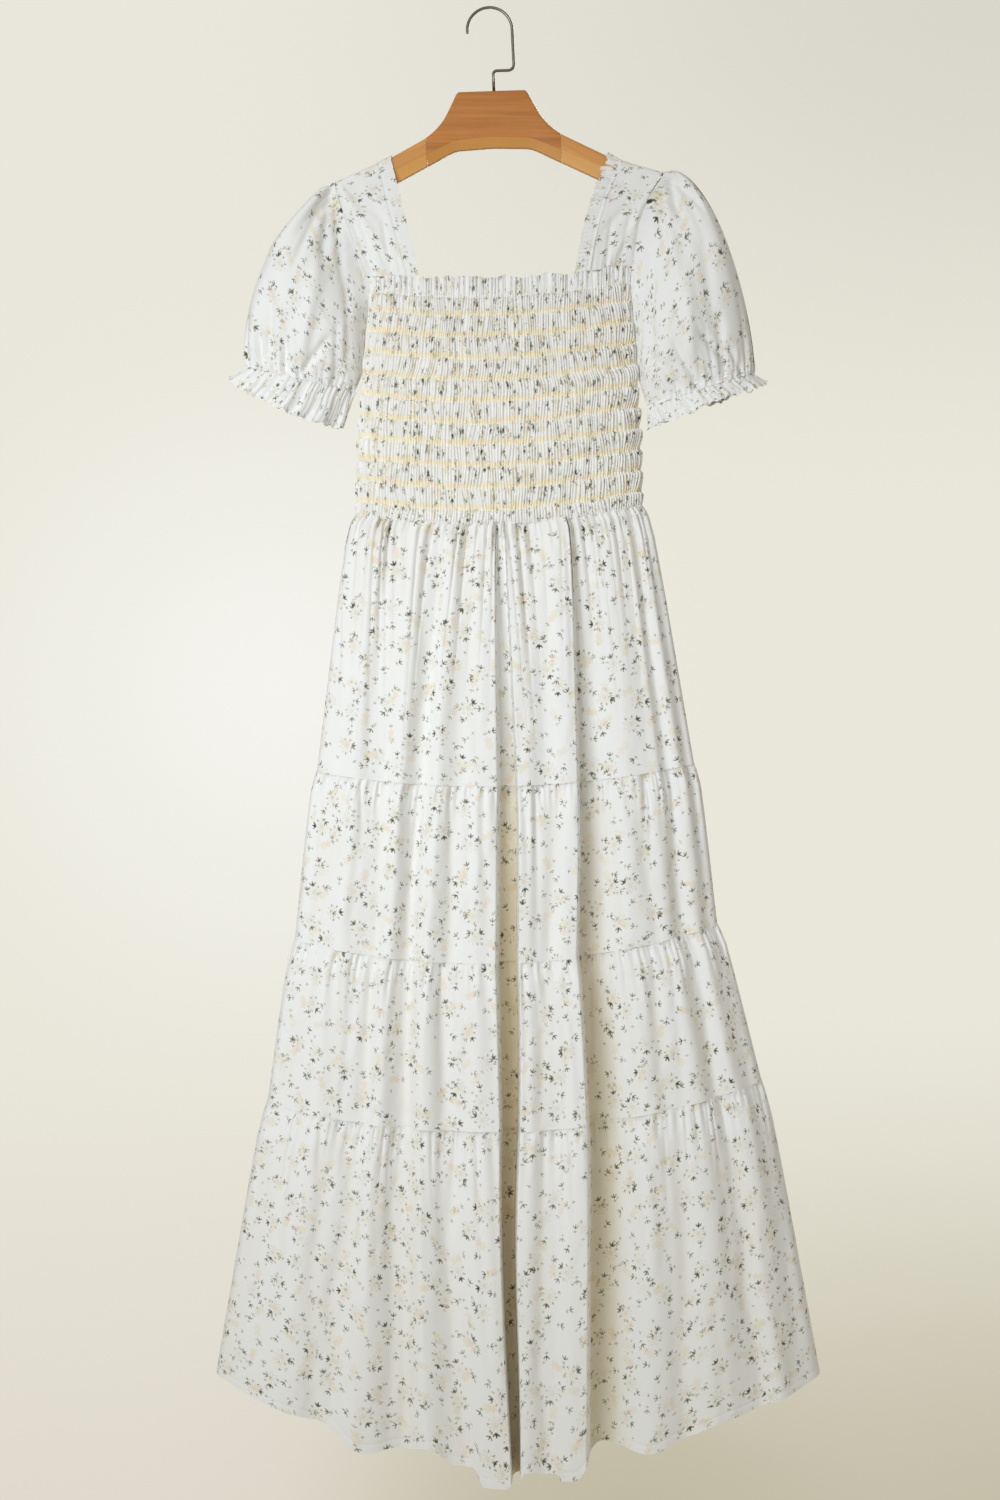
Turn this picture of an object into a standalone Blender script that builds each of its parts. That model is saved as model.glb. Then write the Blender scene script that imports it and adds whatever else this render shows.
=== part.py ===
"""A smocked maxi dress with puff sleeves and a four-tier skirt, hanging on a wooden hanger.

Sizes are in millimetres from the point where a rail carries the hook, and become metres in each mesh.
X runs to the right as seen from the front, Y to the back and Z up. The dress hangs flat, with a hollow
between its front and its back. Every sewn piece is a wall of its own, parted from its neighbours.
"""

import math
from collections import namedtuple

import bmesh
import bpy
import numpy as np
from mathutils import Vector

MM = 0.001
FRONT, BACK = -1, 1
LEFT, RIGHT = -1, 1

CLOTH = 1.5
SEAM_GAP = 0.6
SIDE_ROUNDING = 3.0

# Hanger
TILT = math.radians(1.9)
ARM_HALF = 8.0
ARM_TOP_ROUND = 4.0
CHAMFER_DEPTH = 4.5
JOINT_X = 67.0
WIRE_RADIUS = 1.5
HOOK_RADIUS = 22.4


def empty_scene():
    for thing in list(bpy.data.objects):
        bpy.data.objects.remove(thing)


Look = namedtuple("Look", "colour roughness metallic")
PRINTED_COTTON = Look((0.84, 0.83, 0.79), 0.85, 0.0)
SMOCKED_COTTON = Look((0.83, 0.80, 0.72), 0.9, 0.0)
BLOCK_WOOD = Look((0.56, 0.25, 0.06), 0.4, 0.0)
ARM_WOOD = Look((0.71, 0.38, 0.12), 0.4, 0.0)
HOOK_WIRE = Look((0.55, 0.54, 0.52), 0.3, 1.0)


def own_material(name, look):
    material = bpy.data.materials.new(name)
    material.use_nodes = True
    shader = material.node_tree.nodes["Principled BSDF"]
    shader.inputs["Base Color"].default_value = (*look.colour, 1.0)
    shader.inputs["Roughness"].default_value = look.roughness
    shader.inputs["Metallic"].default_value = look.metallic
    material.diffuse_color = (*look.colour, 1.0)
    return material


def mix(a, b, share):
    return a + (b - a) * share


def smooth(share):
    return (1.0 - math.cos(math.pi * share)) / 2.0


def new_object(name, bm, look, collection):
    mesh = bpy.data.meshes.new(name)
    bm.to_mesh(mesh)
    bm.free()
    mesh.materials.append(own_material(name, look))
    mesh.shade_smooth()
    thing = bpy.data.objects.new(name, mesh)
    collection.objects.link(thing)
    return thing


def cloth_piece(name, point, columns, rows, face, look, collection, ring=False):
    """A sewn piece as a wall. point(column, row) gives its outer surface in millimetres."""
    bm = bmesh.new()
    across, down = len(columns) - 1, len(rows) - 1
    bmesh.ops.create_grid(bm, x_segments=across, y_segments=down, size=0.5)
    for vert in bm.verts:
        column = columns[round((vert.co.x + 0.5) * across)]
        row = rows[round((0.5 - vert.co.y) * down)]
        vert.co = Vector(point(column, row)) * MM
    if ring:
        bmesh.ops.remove_doubles(bm, verts=bm.verts, dist=0.01 * MM)
    if face == BACK:
        bmesh.ops.reverse_faces(bm, faces=bm.faces)
    piece = new_object(name, bm, look, collection)
    wall = piece.modifiers.new("wall", "SOLIDIFY")
    wall.thickness = CLOTH * MM
    wall.offset = -1.0
    return piece


# The body of the dress. A height line is a level section: its side ends, its height at the middle, how much
# its ends rise, how much its right end leans up, and how far it stands out to the front and the back.
HeightLine = namedtuple("HeightLine", "left right mid_z side_rise lean front back")
FRILL_TOP = HeightLine(-123.0, 145.0, -271.0, 8.0, 5.0, 20.0, 15.0)
NECK_ELASTIC = HeightLine(-122.5, 145.0, -291.0, 12.0, 5.0, 20.0, 15.0)
WAIST = HeightLine(-133.0, 153.0, -517.0, 15.0, 5.0, 24.0, 16.0)
SKIRT_TOP = HeightLine(-136.0, 156.0, -517.0, 15.0, 5.0, 26.0, 18.0)
SEAM_ONE = HeightLine(-172.0, 205.0, -777.0, 18.0, 4.0, 40.0, 24.0)
SEAM_TWO = HeightLine(-194.0, 228.0, -951.0, 28.5, 7.5, 52.0, 28.0)
SEAM_THREE = HeightLine(-221.0, 272.0, -1115.0, 34.5, 10.5, 62.0, 32.0)
HEM = HeightLine(-272.0, 330.0, -1438.0, 78.0, 0.0, 78.0, 40.0)
SKIRT_LINES = (SKIRT_TOP, SEAM_ONE, SEAM_TWO, SEAM_THREE, HEM)


def line_between(upper, lower, share):
    return HeightLine(*(mix(a, b, share) for a, b in zip(upper, lower)))


def rounded(t):
    """How far a section stands out at t, which runs from -1 at the left side to 1 at the right."""
    return max(0.0, 1.0 - abs(t) ** SIDE_ROUNDING) ** (1.0 / SIDE_ROUNDING)


def body_point(line, t, face, inward=0.0, drop=0.0):
    """A point of the body on a height line, pushed in by a fold and let down by a drop."""
    centre = (line.left + line.right) / 2
    half = (line.right - line.left) / 2
    depth = line.front if face == FRONT else line.back
    y = max(depth * rounded(t) - inward, 0.0) + SEAM_GAP / 2
    z = line.mid_z + line.side_rise * t * t + line.lean * t - drop
    return centre + half * t, face * y, z


# Long folds of the skirt's front. Each row is a crest or a trough: its t at the waist, at the second seam and
# at the hem, how far it goes in at those three heights, and how much lower the hem hangs there.
Fold = namedtuple("Fold", "t_waist t_mid t_hem in_waist in_mid in_hem hem_drop")
MID_SHARE = 0.46
FRONT_FOLDS = (
    Fold(-1.00, -1.00, -1.00, 0, 0, 0, 0),
    Fold(-0.90, -0.90, -0.94, 4, 6, 8, 0),
    Fold(-0.80, -0.79, -0.77, 0, 0, 0, -2),
    Fold(-0.72, -0.62, -0.63, 5, 8, 9, -6),
    Fold(-0.55, -0.55, -0.52, -1, -2, -2, 10),
    Fold(-0.39, -0.455, -0.365, 7, 13, 14, -2),
    Fold(-0.30, -0.37, -0.29, -1, -2, -2, -8),
    Fold(-0.21, -0.26, -0.20, 5, 6, 8, 6),
    Fold(-0.08, -0.13, -0.10, 0, -2, -4, 24),
    Fold(0.014, 0.04, 0.00, 10, 32, 36, 15),
    Fold(0.09, 0.11, 0.03, -3, -12, -14, 6),
    Fold(0.22, 0.20, 0.09, 2, -6, -8, 8),
    Fold(0.41, 0.29, 0.18, -3, -12, -14, 16),
    Fold(0.52, 0.38, 0.27, 9, 24, 26, -12),
    Fold(0.74, 0.60, 0.44, 0, 2, 2, 6),
    Fold(0.80, 0.70, 0.54, 2, 6, 12, 0),
    Fold(0.83, 0.77, 0.66, 0, 1, 1, -4),
    Fold(0.87, 0.835, 0.79, 6, 9, 11, -2),
    Fold(0.92, 0.91, 0.87, 0, 0, 0, 0),
    Fold(0.96, 0.955, 0.94, 3, 5, 6, 0),
    Fold(1.00, 1.00, 1.00, 0, 0, 0, 0),
)
BACK_FOLD_SHARE = 0.5
BACK_FOLDS = tuple(
    Fold(-f.t_waist, -f.t_mid, -f.t_hem, *(BACK_FOLD_SHARE * depth for depth in f[3:6]), 0)
    for f in reversed(FRONT_FOLDS)
)

# Rows of a tier: how far down it they lie, what share of the gather depth shows there, and how much the
# cloth puffs out below its seam.
TierRow = namedtuple("TierRow", "share gather puff")
TIER_ROWS = (
    TierRow(0.0, 0.3, 0.0),
    TierRow(0.12, 1.0, 3.5),
    TierRow(0.5, 0.6, 2.5),
    TierRow(1.0, 0.1, 0.0),
)
GATHER_DEPTH = 4.0
GATHER_SPACING = {FRONT: 21.0, BACK: 30.0}
SIDE_STEPS = (0.0, 0.03, 0.14, 0.42)


def through_three(share, top, middle, bottom):
    """A smooth curve through three values: at the waist, at the second seam and at the hem."""
    m = MID_SHARE
    return (
        top * (share - m) * (share - 1) / m
        + middle * share * (share - 1) / (m * (m - 1))
        + bottom * share * (share - m) / (1 - m)
    )


def skirt_share(z):
    return (WAIST.mid_z - z) / (WAIST.mid_z - HEM.mid_z)


def tier_columns(folds, line, spacing):
    """(fold, share of the way to the next fold, gather) for each column of a tier."""
    half = (line.right - line.left) / 2
    share = skirt_share(line.mid_z)
    places = [through_three(share, *f[:3]) for f in folds]
    columns = []
    last = len(folds) - 2
    for i in range(len(folds) - 1):
        if i == 0:
            columns += [(i, q, 0) for q in SIDE_STEPS]
        elif i == last:
            columns += [(i, 0.0, 0)] + [(i, 1 - q, 0) for q in reversed(SIDE_STEPS[1:])]
        else:
            waves = max(1, round((places[i + 1] - places[i]) * half / spacing))
            columns += [(i, j / (2 * waves), j % 2) for j in range(2 * waves)]
    return columns + [(last, 1.0, 0)]


def tier_point(number, face, folds, column, row):
    i, q, gather = column
    upper, lower = SKIRT_LINES[number], SKIRT_LINES[number + 1]
    line = line_between(upper, lower, row.share)
    puffed = line._replace(
        left=line.left - row.puff, right=line.right + row.puff, front=line.front + row.puff, back=line.back + row.puff
    )
    down = skirt_share(line.mid_z)
    here, there = folds[i], folds[i + 1]
    t = mix(through_three(down, *here[:3]), through_three(down, *there[:3]), q)
    inward = mix(through_three(down, *here[3:6]), through_three(down, *there[3:6]), smooth(q))
    inward += gather * row.gather * GATHER_DEPTH
    drop = mix(here.hem_drop, there.hem_drop, smooth(q)) * row.share**2 if lower is HEM else 0.0
    trim = SEAM_GAP / 2 * (1 - 2 * row.share)
    if lower is HEM and row.share == 1.0:
        trim = 0.0
    return body_point(puffed, t, face, inward, drop + trim)


def make_skirt(look, collection):
    """Four gathered tiers, each a front and a back panel sewn at the sides."""
    for number in range(len(SKIRT_LINES) - 1):
        for face, folds, word in ((FRONT, FRONT_FOLDS, "front"), (BACK, BACK_FOLDS, "back")):
            columns = tier_columns(folds, SKIRT_LINES[number], GATHER_SPACING[face])

            def point(column, row, number=number, face=face, folds=folds):
                return tier_point(number, face, folds, column, row)

            cloth_piece(f"tier_{number + 1}_{word}", point, columns, TIER_ROWS, face, look, collection)


# Smocked bodice: rows of elastic draw the cloth into small ribs that puff out between the rows.
ELASTIC_ROWS = 10
FIRST_ROW_Z, LAST_ROW_Z = -309.0, -502.5
PUFF_HEIGHT = 2.0
RIB_HEIGHT = 1.1
RIBS = 20
INNER_STEP = 5
UNDERARM_Z = -366.0
ARMHOLE_EDGE = 9.0

_T = np.linspace(-1.0, 1.0, 2001)
_ARC = np.concatenate(
    [[0.0], np.cumsum(np.hypot(np.diff(_T) * 140.0, np.diff([rounded(t) * 22.0 for t in _T])))]
)
_ARC /= _ARC[-1]


def t_along(share):
    """t at a share of the way along a bodice section, measured on the cloth."""
    return float(np.interp(share, _ARC, _T))


def edge_share(line, side, face):
    """Where a bodice panel ends on a height line: at the side seam, or at the armhole above the underarm."""
    z = line.mid_z + line.side_rise + line.lean * side
    if z <= UNDERARM_Z:
        return 0.0
    depth = line.front if face == FRONT else line.back
    top = NECK_ELASTIC.mid_z + NECK_ELASTIC.side_rise
    stands = ARMHOLE_EDGE * min(1.0, (z - UNDERARM_Z) / (top - UNDERARM_Z)) ** 0.5 * depth / FRILL_TOP.front
    t = (1.0 - (stands / depth) ** SIDE_ROUNDING) ** (1.0 / SIDE_ROUNDING)
    return float(np.interp(-t, _T, _ARC))


def bodice_t(line, face, share):
    """t at a share of the way from a panel's left edge to its right edge."""
    start = edge_share(line, LEFT, face)
    stop = 1.0 - edge_share(line, RIGHT, face)
    return t_along(mix(start, stop, share))


def smocking_rows():
    """(height line, how far the cloth stands out there) for each row of points, top to bottom."""
    row_z = np.linspace(FIRST_ROW_Z, LAST_ROW_Z, ELASTIC_ROWS)
    drawn = [NECK_ELASTIC.mid_z - SEAM_GAP / 2, *row_z, WAIST.mid_z + SEAM_GAP / 2]
    rows = []
    for upper, lower in zip(drawn, drawn[1:]):
        rows.append((upper, 0.0))
        rows.append(((upper + lower) / 2, PUFF_HEIGHT))
    rows.append((drawn[-1], 0.0))
    span = WAIST.mid_z - NECK_ELASTIC.mid_z
    return [
        (line_between(NECK_ELASTIC, WAIST, (z - NECK_ELASTIC.mid_z) / span), raised)
        for z, raised in rows
    ]


def run_of(numbers, start, stop, fine):
    """The numbers of the points from start to stop: all of them on an outer edge, or the two ends."""
    step = 1 if stop > start else -1
    return [numbers(k) for k in range(start, stop, step)] if fine else [numbers(start)]


def smocked_panel(name, face, look, collection):
    """A panel with its ribs and puffs raised in the outer points, over a plain inside with large faces."""
    rows = smocking_rows()
    columns = 2 * RIBS
    plain = np.array(
        [[body_point(line, bodice_t(line, face, c / columns), face) for c in range(columns + 1)] for line, _ in rows]
    )
    normals = np.cross(np.gradient(plain, axis=1), np.gradient(plain, axis=0))
    normals *= -face / np.linalg.norm(normals, axis=2, keepdims=True) * -1
    raised = np.array([[up * (c not in (0, columns)) for c in range(columns + 1)] for _, up in rows])
    ribs = np.array([[RIB_HEIGHT * (c % 2) * (0 < c < columns) for c in range(columns + 1)] for _ in rows])
    ribs[0] = ribs[-1] = 0.0
    outer = plain + normals * (raised + ribs)[..., None]
    inner = plain - normals * CLOTH
    inner[..., 1] = face * np.maximum(face * inner[..., 1], SEAM_GAP / 2)

    bm = bmesh.new()
    out = [[bm.verts.new(p * MM) for p in row] for row in outer]
    last_row, last_column = len(rows) - 1, columns
    for r in range(last_row):
        for c in range(last_column):
            bm.faces.new((out[r][c], out[r][c + 1], out[r + 1][c + 1], out[r + 1][c]))
    row_cuts = [*range(0, last_row, INNER_STEP), last_row]
    column_cuts = [*range(0, last_column, INNER_STEP), last_column]
    made = {}

    def inside(r, c):
        if (r, c) not in made:
            made[r, c] = bm.verts.new(inner[r, c] * MM)
        return made[r, c]

    for top, bottom in zip(row_cuts, row_cuts[1:]):
        for left, right in zip(column_cuts, column_cuts[1:]):
            loop = run_of(lambda k: inside(top, k), left, right, top == 0)
            loop += run_of(lambda k: inside(k, right), top, bottom, right == last_column)
            loop += run_of(lambda k: inside(bottom, k), right, left, bottom == last_row)
            loop += run_of(lambda k: inside(k, left), bottom, top, left == 0)
            bm.faces.new(loop)
    rim = [(0, c) for c in range(last_column)] + [(r, last_column) for r in range(last_row)]
    rim += [(last_row, c) for c in range(last_column, 0, -1)] + [(r, 0) for r in range(last_row, 0, -1)]
    for here, there in zip(rim, rim[1:] + rim[:1]):
        bm.faces.new((out[here[0]][here[1]], out[there[0]][there[1]], inside(*there), inside(*here)))
    bmesh.ops.recalc_face_normals(bm, faces=bm.faces)
    return new_object(name, bm, look, collection)


# Frill above the top elastic row, where the edge of the smocked cloth stands free.
NECK_WAVES = 15
NECK_WAVE = 1.6


def frill_point(face, column, share):
    number, of = column
    line = line_between(FRILL_TOP, NECK_ELASTIC, share)
    t = bodice_t(line, face, number / of)
    wave = NECK_WAVE * (1 - share * 0.6) * (1 if number % 2 else -1) * (0 < number < of)
    drop = -SEAM_GAP / 2 if share == 1.0 else 0.0
    return body_point(line, t, face, wave, drop)


def make_neck_frills(look, collection):
    columns = [(number, 2 * NECK_WAVES) for number in range(2 * NECK_WAVES + 1)]
    for face, word in ((FRONT, "front"), (BACK, "back")):

        def point(column, share, face=face):
            return frill_point(face, column, share)

        cloth_piece(f"neck_frill_{word}", point, columns, (0.0, 1.0), face, look, collection)


# Wooden hanger. Its stations are given for the right half, before the tilt: the distance out, the height of the
# top, of the line where the lower chamfer starts, and of the underside.
Station = namedtuple("Station", "x top chamfer bottom")
STATIONS = (
    Station(0.0, -83.0, -129.5, -139.5),
    Station(33.5, -83.0, -131.5, -141.0),
    Station(36.0, -86.0, -132.0, -141.5),
    Station(41.0, -96.0, -133.5, -143.0),
    Station(48.5, -109.5, -136.5, -146.5),
    Station(57.0, -119.5, -140.5, -151.0),
    Station(JOINT_X, -127.5, -145.0, -156.0),
    Station(78.0, -133.5, -150.0, -161.5),
    Station(106.0, -148.0, -162.5, -175.5),
    Station(140.0, -165.0, -179.0, -192.0),
    Station(152.0, -171.0, -185.0, -197.0),
    Station(157.0, -176.0, -186.5, -193.0),
)


def tilted(x, y, z):
    """A point of the level hanger, turned with it about the point where a rail carries it."""
    return x * math.cos(TILT) - z * math.sin(TILT), y, x * math.sin(TILT) + z * math.cos(TILT)


def wood_section(station, side):
    """The eight corners of a section through the wood: a rounded top and a chamfered underside."""
    s, r = ARM_HALF, ARM_TOP_ROUND * 0.8
    corners = (
        (-s, station.top - r),
        (-s + r, station.top),
        (s - r, station.top),
        (s, station.top - r),
        (s, station.chamfer),
        (s - CHAMFER_DEPTH, station.bottom),
        (-s + CHAMFER_DEPTH, station.bottom),
        (-s, station.chamfer),
    )
    return [Vector(tilted(side * station.x, y, z)) * MM for y, z in corners]


def wood_bar(name, sections, look, collection):
    """A bar lofted through sections, closed at both ends."""
    bm = bmesh.new()
    rings = [[bm.verts.new(p) for p in section] for section in sections]
    count = len(rings[0])
    for a, b in zip(rings, rings[1:]):
        for k in range(count):
            bm.faces.new((a[k], a[(k + 1) % count], b[(k + 1) % count], b[k]))
    bm.faces.new(rings[0])
    bm.faces.new(rings[-1])
    bmesh.ops.recalc_face_normals(bm, faces=bm.faces)
    bar = new_object(name, bm, look, collection)
    bar.data.set_sharp_from_angle(angle=math.radians(35))
    return bar


JOINT_GAP = 0.3


def make_hanger(collection):
    """A centre block with two arms glued on, and a wire hook that stands on the block."""
    inner = [s for s in STATIONS if s.x <= JOINT_X]
    outer = [s for s in STATIONS if s.x >= JOINT_X]
    centre = [wood_section(s, LEFT) for s in reversed(inner)] + [wood_section(s, RIGHT) for s in inner[1:]]
    wood_bar("hanger_centre", centre, BLOCK_WOOD, collection)
    for side, word in ((LEFT, "left"), (RIGHT, "right")):
        arm = [outer[0]._replace(x=JOINT_X + JOINT_GAP), *outer[1:]]
        wood_bar(f"hanger_arm_{word}", [wood_section(s, side) for s in arm], ARM_WOOD, collection)
    hook = bpy.data.curves.new("hanger_hook", "CURVE")
    hook.dimensions = "3D"
    hook.bevel_depth = WIRE_RADIUS * MM
    hook.bevel_resolution = 2
    hook.use_fill_caps = True
    route = hook_route()
    wire = hook.splines.new("POLY")
    wire.points.add(len(route) - 1)
    for point, place in zip(wire.points, route):
        point.co = (*(c * MM for c in tilted(place[0], 0.0, place[1])), 1.0)
    hook.materials.append(own_material("hanger_hook", HOOK_WIRE))
    collection.objects.link(bpy.data.objects.new("hanger_hook", hook))


def bend(centre_x, centre_z, radius, start, stop, steps):
    """Points round a bend of the wire, with the angles in degrees."""
    angles = [math.radians(mix(start, stop, k / steps)) for k in range(steps + 1)]
    return [(centre_x + radius * math.cos(a), centre_z + radius * math.sin(a)) for a in angles]


def hook_route():
    """The wire's centreline, from its tip over the rail and down by a crank to the wood."""
    stem_x, crank_z, shank_x = 2.2, -62.0, 23.0
    wide, tight = 6.0, 3.5
    middle_z = WIRE_RADIUS - HOOK_RADIUS
    route = bend(0.0, middle_z, HOOK_RADIUS, 184.0, 0.0, 18)
    route += bend(shank_x - wide, crank_z + wide, wide, 0.0, -90.0, 4)
    route += bend(stem_x + tight, crank_z - tight, tight, 90.0, 180.0, 3)
    route.append((stem_x, STATIONS[0].top + JOINT_GAP))
    return route


def arm_top(x):
    """Height of the top of a hanger arm at x, where a strap lies on it."""
    side = LEFT if x < 0 else RIGHT
    places = [tilted(side * s.x, 0.0, s.top) for s in STATIONS if JOINT_X <= s.x <= 152.0]
    places.sort()
    return float(np.interp(x, [p[0] for p in places], [p[2] for p in places]))


# Shoulder straps. Each passes over a hanger arm, from the front neck frill to the back one. A guide runs from the
# frill up to the arm: its x at the bottom, its x and z half-way, and its x on the arm.
Guide = namedtuple("Guide", "bottom_x mid_x mid_z top_x")
STRAP_GUIDES = {
    LEFT: {
        "armhole": Guide(-121.5, -144.5, -207.0, -153.0),
        "casing": Guide(-83.0, -101.0, -208.0, -112.0),
        "neck": Guide(-69.0, -84.5, -205.0, -97.5),
    },
    RIGHT: {
        "armhole": Guide(143.0, 153.0, -205.0, 172.5),
        "casing": Guide(101.0, 113.0, -206.0, 132.5),
        "neck": Guide(86.0, 98.5, -204.0, 117.5),
    },
}
ARM_CLEAR = 0.7
WRAP = ARM_HALF + 0.3 + CLOTH
WRAP_ROUND = ARM_TOP_ROUND + CLOTH
WRAP_STEPS = (
    (-WRAP, -WRAP_ROUND),
    (-WRAP + 0.29 * WRAP_ROUND, -0.29 * WRAP_ROUND),
    (-WRAP + WRAP_ROUND, 0.0),
    (WRAP - WRAP_ROUND, 0.0),
    (WRAP - 0.29 * WRAP_ROUND, -0.29 * WRAP_ROUND),
    (WRAP, -WRAP_ROUND),
)
FRILL_CLEAR = SEAM_GAP


def frill_top_at(x, face):
    """The point of a neck frill's top edge at x, without its waves."""
    centre = (FRILL_TOP.left + FRILL_TOP.right) / 2
    half = (FRILL_TOP.right - FRILL_TOP.left) / 2
    return body_point(FRILL_TOP, (x - centre) / half, face)


def bow(share, first, middle, last):
    """A curve through three values at 0, 0.5 and 1."""
    return (
        first * 2 * (share - 0.5) * (share - 1)
        - middle * 4 * share * (share - 1)
        + last * 2 * share * (share - 0.5)
    )


def guide_point(guide, place):
    """A point of a strap on a guide. place is ("side", face, share up) or ("wrap", step)."""
    top_z = arm_top(guide.top_x) + ARM_CLEAR + CLOTH
    if place[0] == "wrap":
        y, below = WRAP_STEPS[place[1]]
        return Vector((guide.top_x, y, top_z + below))
    face, share = place[1:]
    foot = frill_top_at(guide.bottom_x, face)
    x = bow(share, foot[0], guide.mid_x, guide.top_x)
    z = bow(share, foot[2] + FRILL_CLEAR, guide.mid_z, top_z - WRAP_ROUND)
    y = mix(foot[1], face * WRAP, smooth(share))
    return Vector((x, y, z))


def strap_places(steps):
    """Places along a strap, from its front foot over the arm to its back foot."""
    up = [k / steps for k in range(steps)]
    wraps = [("wrap", step) for step in range(len(WRAP_STEPS))]
    return [("side", FRONT, s) for s in up] + wraps + [("side", BACK, s) for s in reversed(up)]


STRAP_STEPS = 4
STRAP_ACROSS = (0.0, 0.33, 0.67, 1.0)
FRILL_STEPS = 10
FRILL_WAVE = 1.6


def make_straps(look, collection):
    """A strap and the frilled casing that runs along its neck edge, on each side."""
    for side, word in ((LEFT, "left"), (RIGHT, "right")):
        guides = STRAP_GUIDES[side]

        def strap(across, place, guides=guides, side=side):
            inner = guides["casing"]._replace(
                bottom_x=guides["casing"].bottom_x + side * SEAM_GAP,
                mid_x=guides["casing"].mid_x + side * SEAM_GAP,
                top_x=guides["casing"].top_x + side * SEAM_GAP,
            )
            return guide_point(guides["armhole"], place).lerp(guide_point(inner, place), across)

        def frill(across, numbered, guides=guides):
            number, place = numbered
            point = guide_point(guides["casing"], place).lerp(guide_point(guides["neck"], place), across)
            if place[0] == "side" and 0 < place[2]:
                point.y += FRILL_WAVE * across * (1 if number % 2 else -1)
            return point

        places = strap_places(STRAP_STEPS)
        facing = FRONT if side == RIGHT else BACK
        cloth_piece(f"strap_{word}", strap, STRAP_ACROSS, places, -facing, look, collection)
        numbered = list(enumerate(strap_places(FRILL_STEPS)))
        cloth_piece(f"strap_frill_{word}", frill, (0.0, 1.0), numbered, -facing, look, collection)


# Puff sleeves. A sleeve is lofted from the armhole to the elastic above its cuff frill. A cuff is a flattened
# ring given by its two ends, seen from the front, its depth, and how far it sags between them.
Cuff = namedtuple("Cuff", "out_x out_z in_x in_z depth sag")
Sleeve = namedtuple("Sleeve", "elastic frill_edge puff_out puff_skew")
SLEEVES = {
    LEFT: Sleeve(
        Cuff(-241.0, -359.0, -134.0, -383.0, 26.0, 2.0), Cuff(-260.0, -368.0, -144.0, -417.0, 34.0, 13.0), 29.0, 1.0
    ),
    RIGHT: Sleeve(
        Cuff(263.0, -366.0, 157.0, -400.0, 26.0, 0.0), Cuff(279.0, -372.0, 161.0, -419.0, 34.0, 4.0), 31.0, 0.62
    ),
}
PUFF_DEPTH = {FRONT: 24.0, BACK: 16.0}
SLEEVE_ROWS = (0.0, 0.07, 0.22, 0.45, 0.7, 0.9, 1.0)
SLEEVE_GATHER = 2.2
ARMHOLE_STEPS = 4
ARMHOLE_GAP = 0.9
CUFF_COLUMNS = 32
CUFF_WAVE = 2.6


def armhole_points(side, face):
    """The edge of an armhole from the shoulder to the underarm, on one face of the dress."""
    guide = STRAP_GUIDES[side]["armhole"]
    steps = range(2, -1, -1) if face == FRONT else range(3, 6)
    wraps = [guide_point(guide, ("wrap", k)) for k in steps]
    crown = (guide_point(guide, ("wrap", 2)) + guide_point(guide, ("wrap", 3))) / 2
    strap = [guide_point(guide, ("side", face, s)) for s in (0.7, 0.4, 0.12)]
    points = [crown, *wraps, *strap]
    end = 0.0 if side == LEFT else 1.0
    side_z = NECK_ELASTIC.mid_z + NECK_ELASTIC.side_rise + side * NECK_ELASTIC.lean
    for k in range(ARMHOLE_STEPS + 1):
        z = mix(side_z, UNDERARM_Z, smooth(k / ARMHOLE_STEPS) ** 0.8)
        share = (z - side_z) / (WAIST.mid_z + WAIST.side_rise + side * WAIST.lean - side_z)
        line = line_between(NECK_ELASTIC, WAIST, share)
        points.append(Vector(body_point(line, bodice_t(line, face, end), face)))
    points[-1].y = 0.0
    return points


def ring_point(cuff, w, face):
    """A point of a cuff ring: w is 0 at its outer end and 1 at its inner end."""
    middle_x, middle_z = (cuff.out_x + cuff.in_x) / 2, (cuff.out_z + cuff.in_z) / 2
    reach = math.cos(math.pi * w)
    return Vector(
        (
            middle_x + (cuff.out_x - middle_x) * reach,
            face * cuff.depth * math.sin(math.pi * w),
            middle_z + (cuff.out_z - middle_z) * reach - cuff.sag * math.sin(math.pi * w),
        )
    )


def sleeve_point(side, points, face, index, share):
    """A point of a sleeve: a loft from armhole to cuff that puffs out."""
    sleeve = SLEEVES[side]
    w = index / (len(points) - 1)
    start = points[index] + Vector((side * ARMHOLE_GAP, 0.0, 0.0))
    end = ring_point(sleeve.elastic, w, face)
    chord = Vector((sleeve.elastic.out_x, 0.0, sleeve.elastic.out_z)) - points[0]
    across = Vector((-side * chord.z, 0.0, side * chord.x)).normalized()
    swell = math.sin(math.pi * share**sleeve.puff_skew) ** 0.65 if 0 < share < 1 else 0.0
    out = across * sleeve.puff_out * math.cos(math.pi * w / 2) ** 2
    front = Vector((0.0, face * PUFF_DEPTH[face] * math.sin(math.pi * w), 0.0))
    pucker = SLEEVE_GATHER * (index % 2) * (share > 0.6) * math.sin(math.pi * w) * (1.0 - 0.6 * (share == 1.0))
    point = start.lerp(end, share) + (out + front) * swell
    point.y -= face * pucker
    return point


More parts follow.
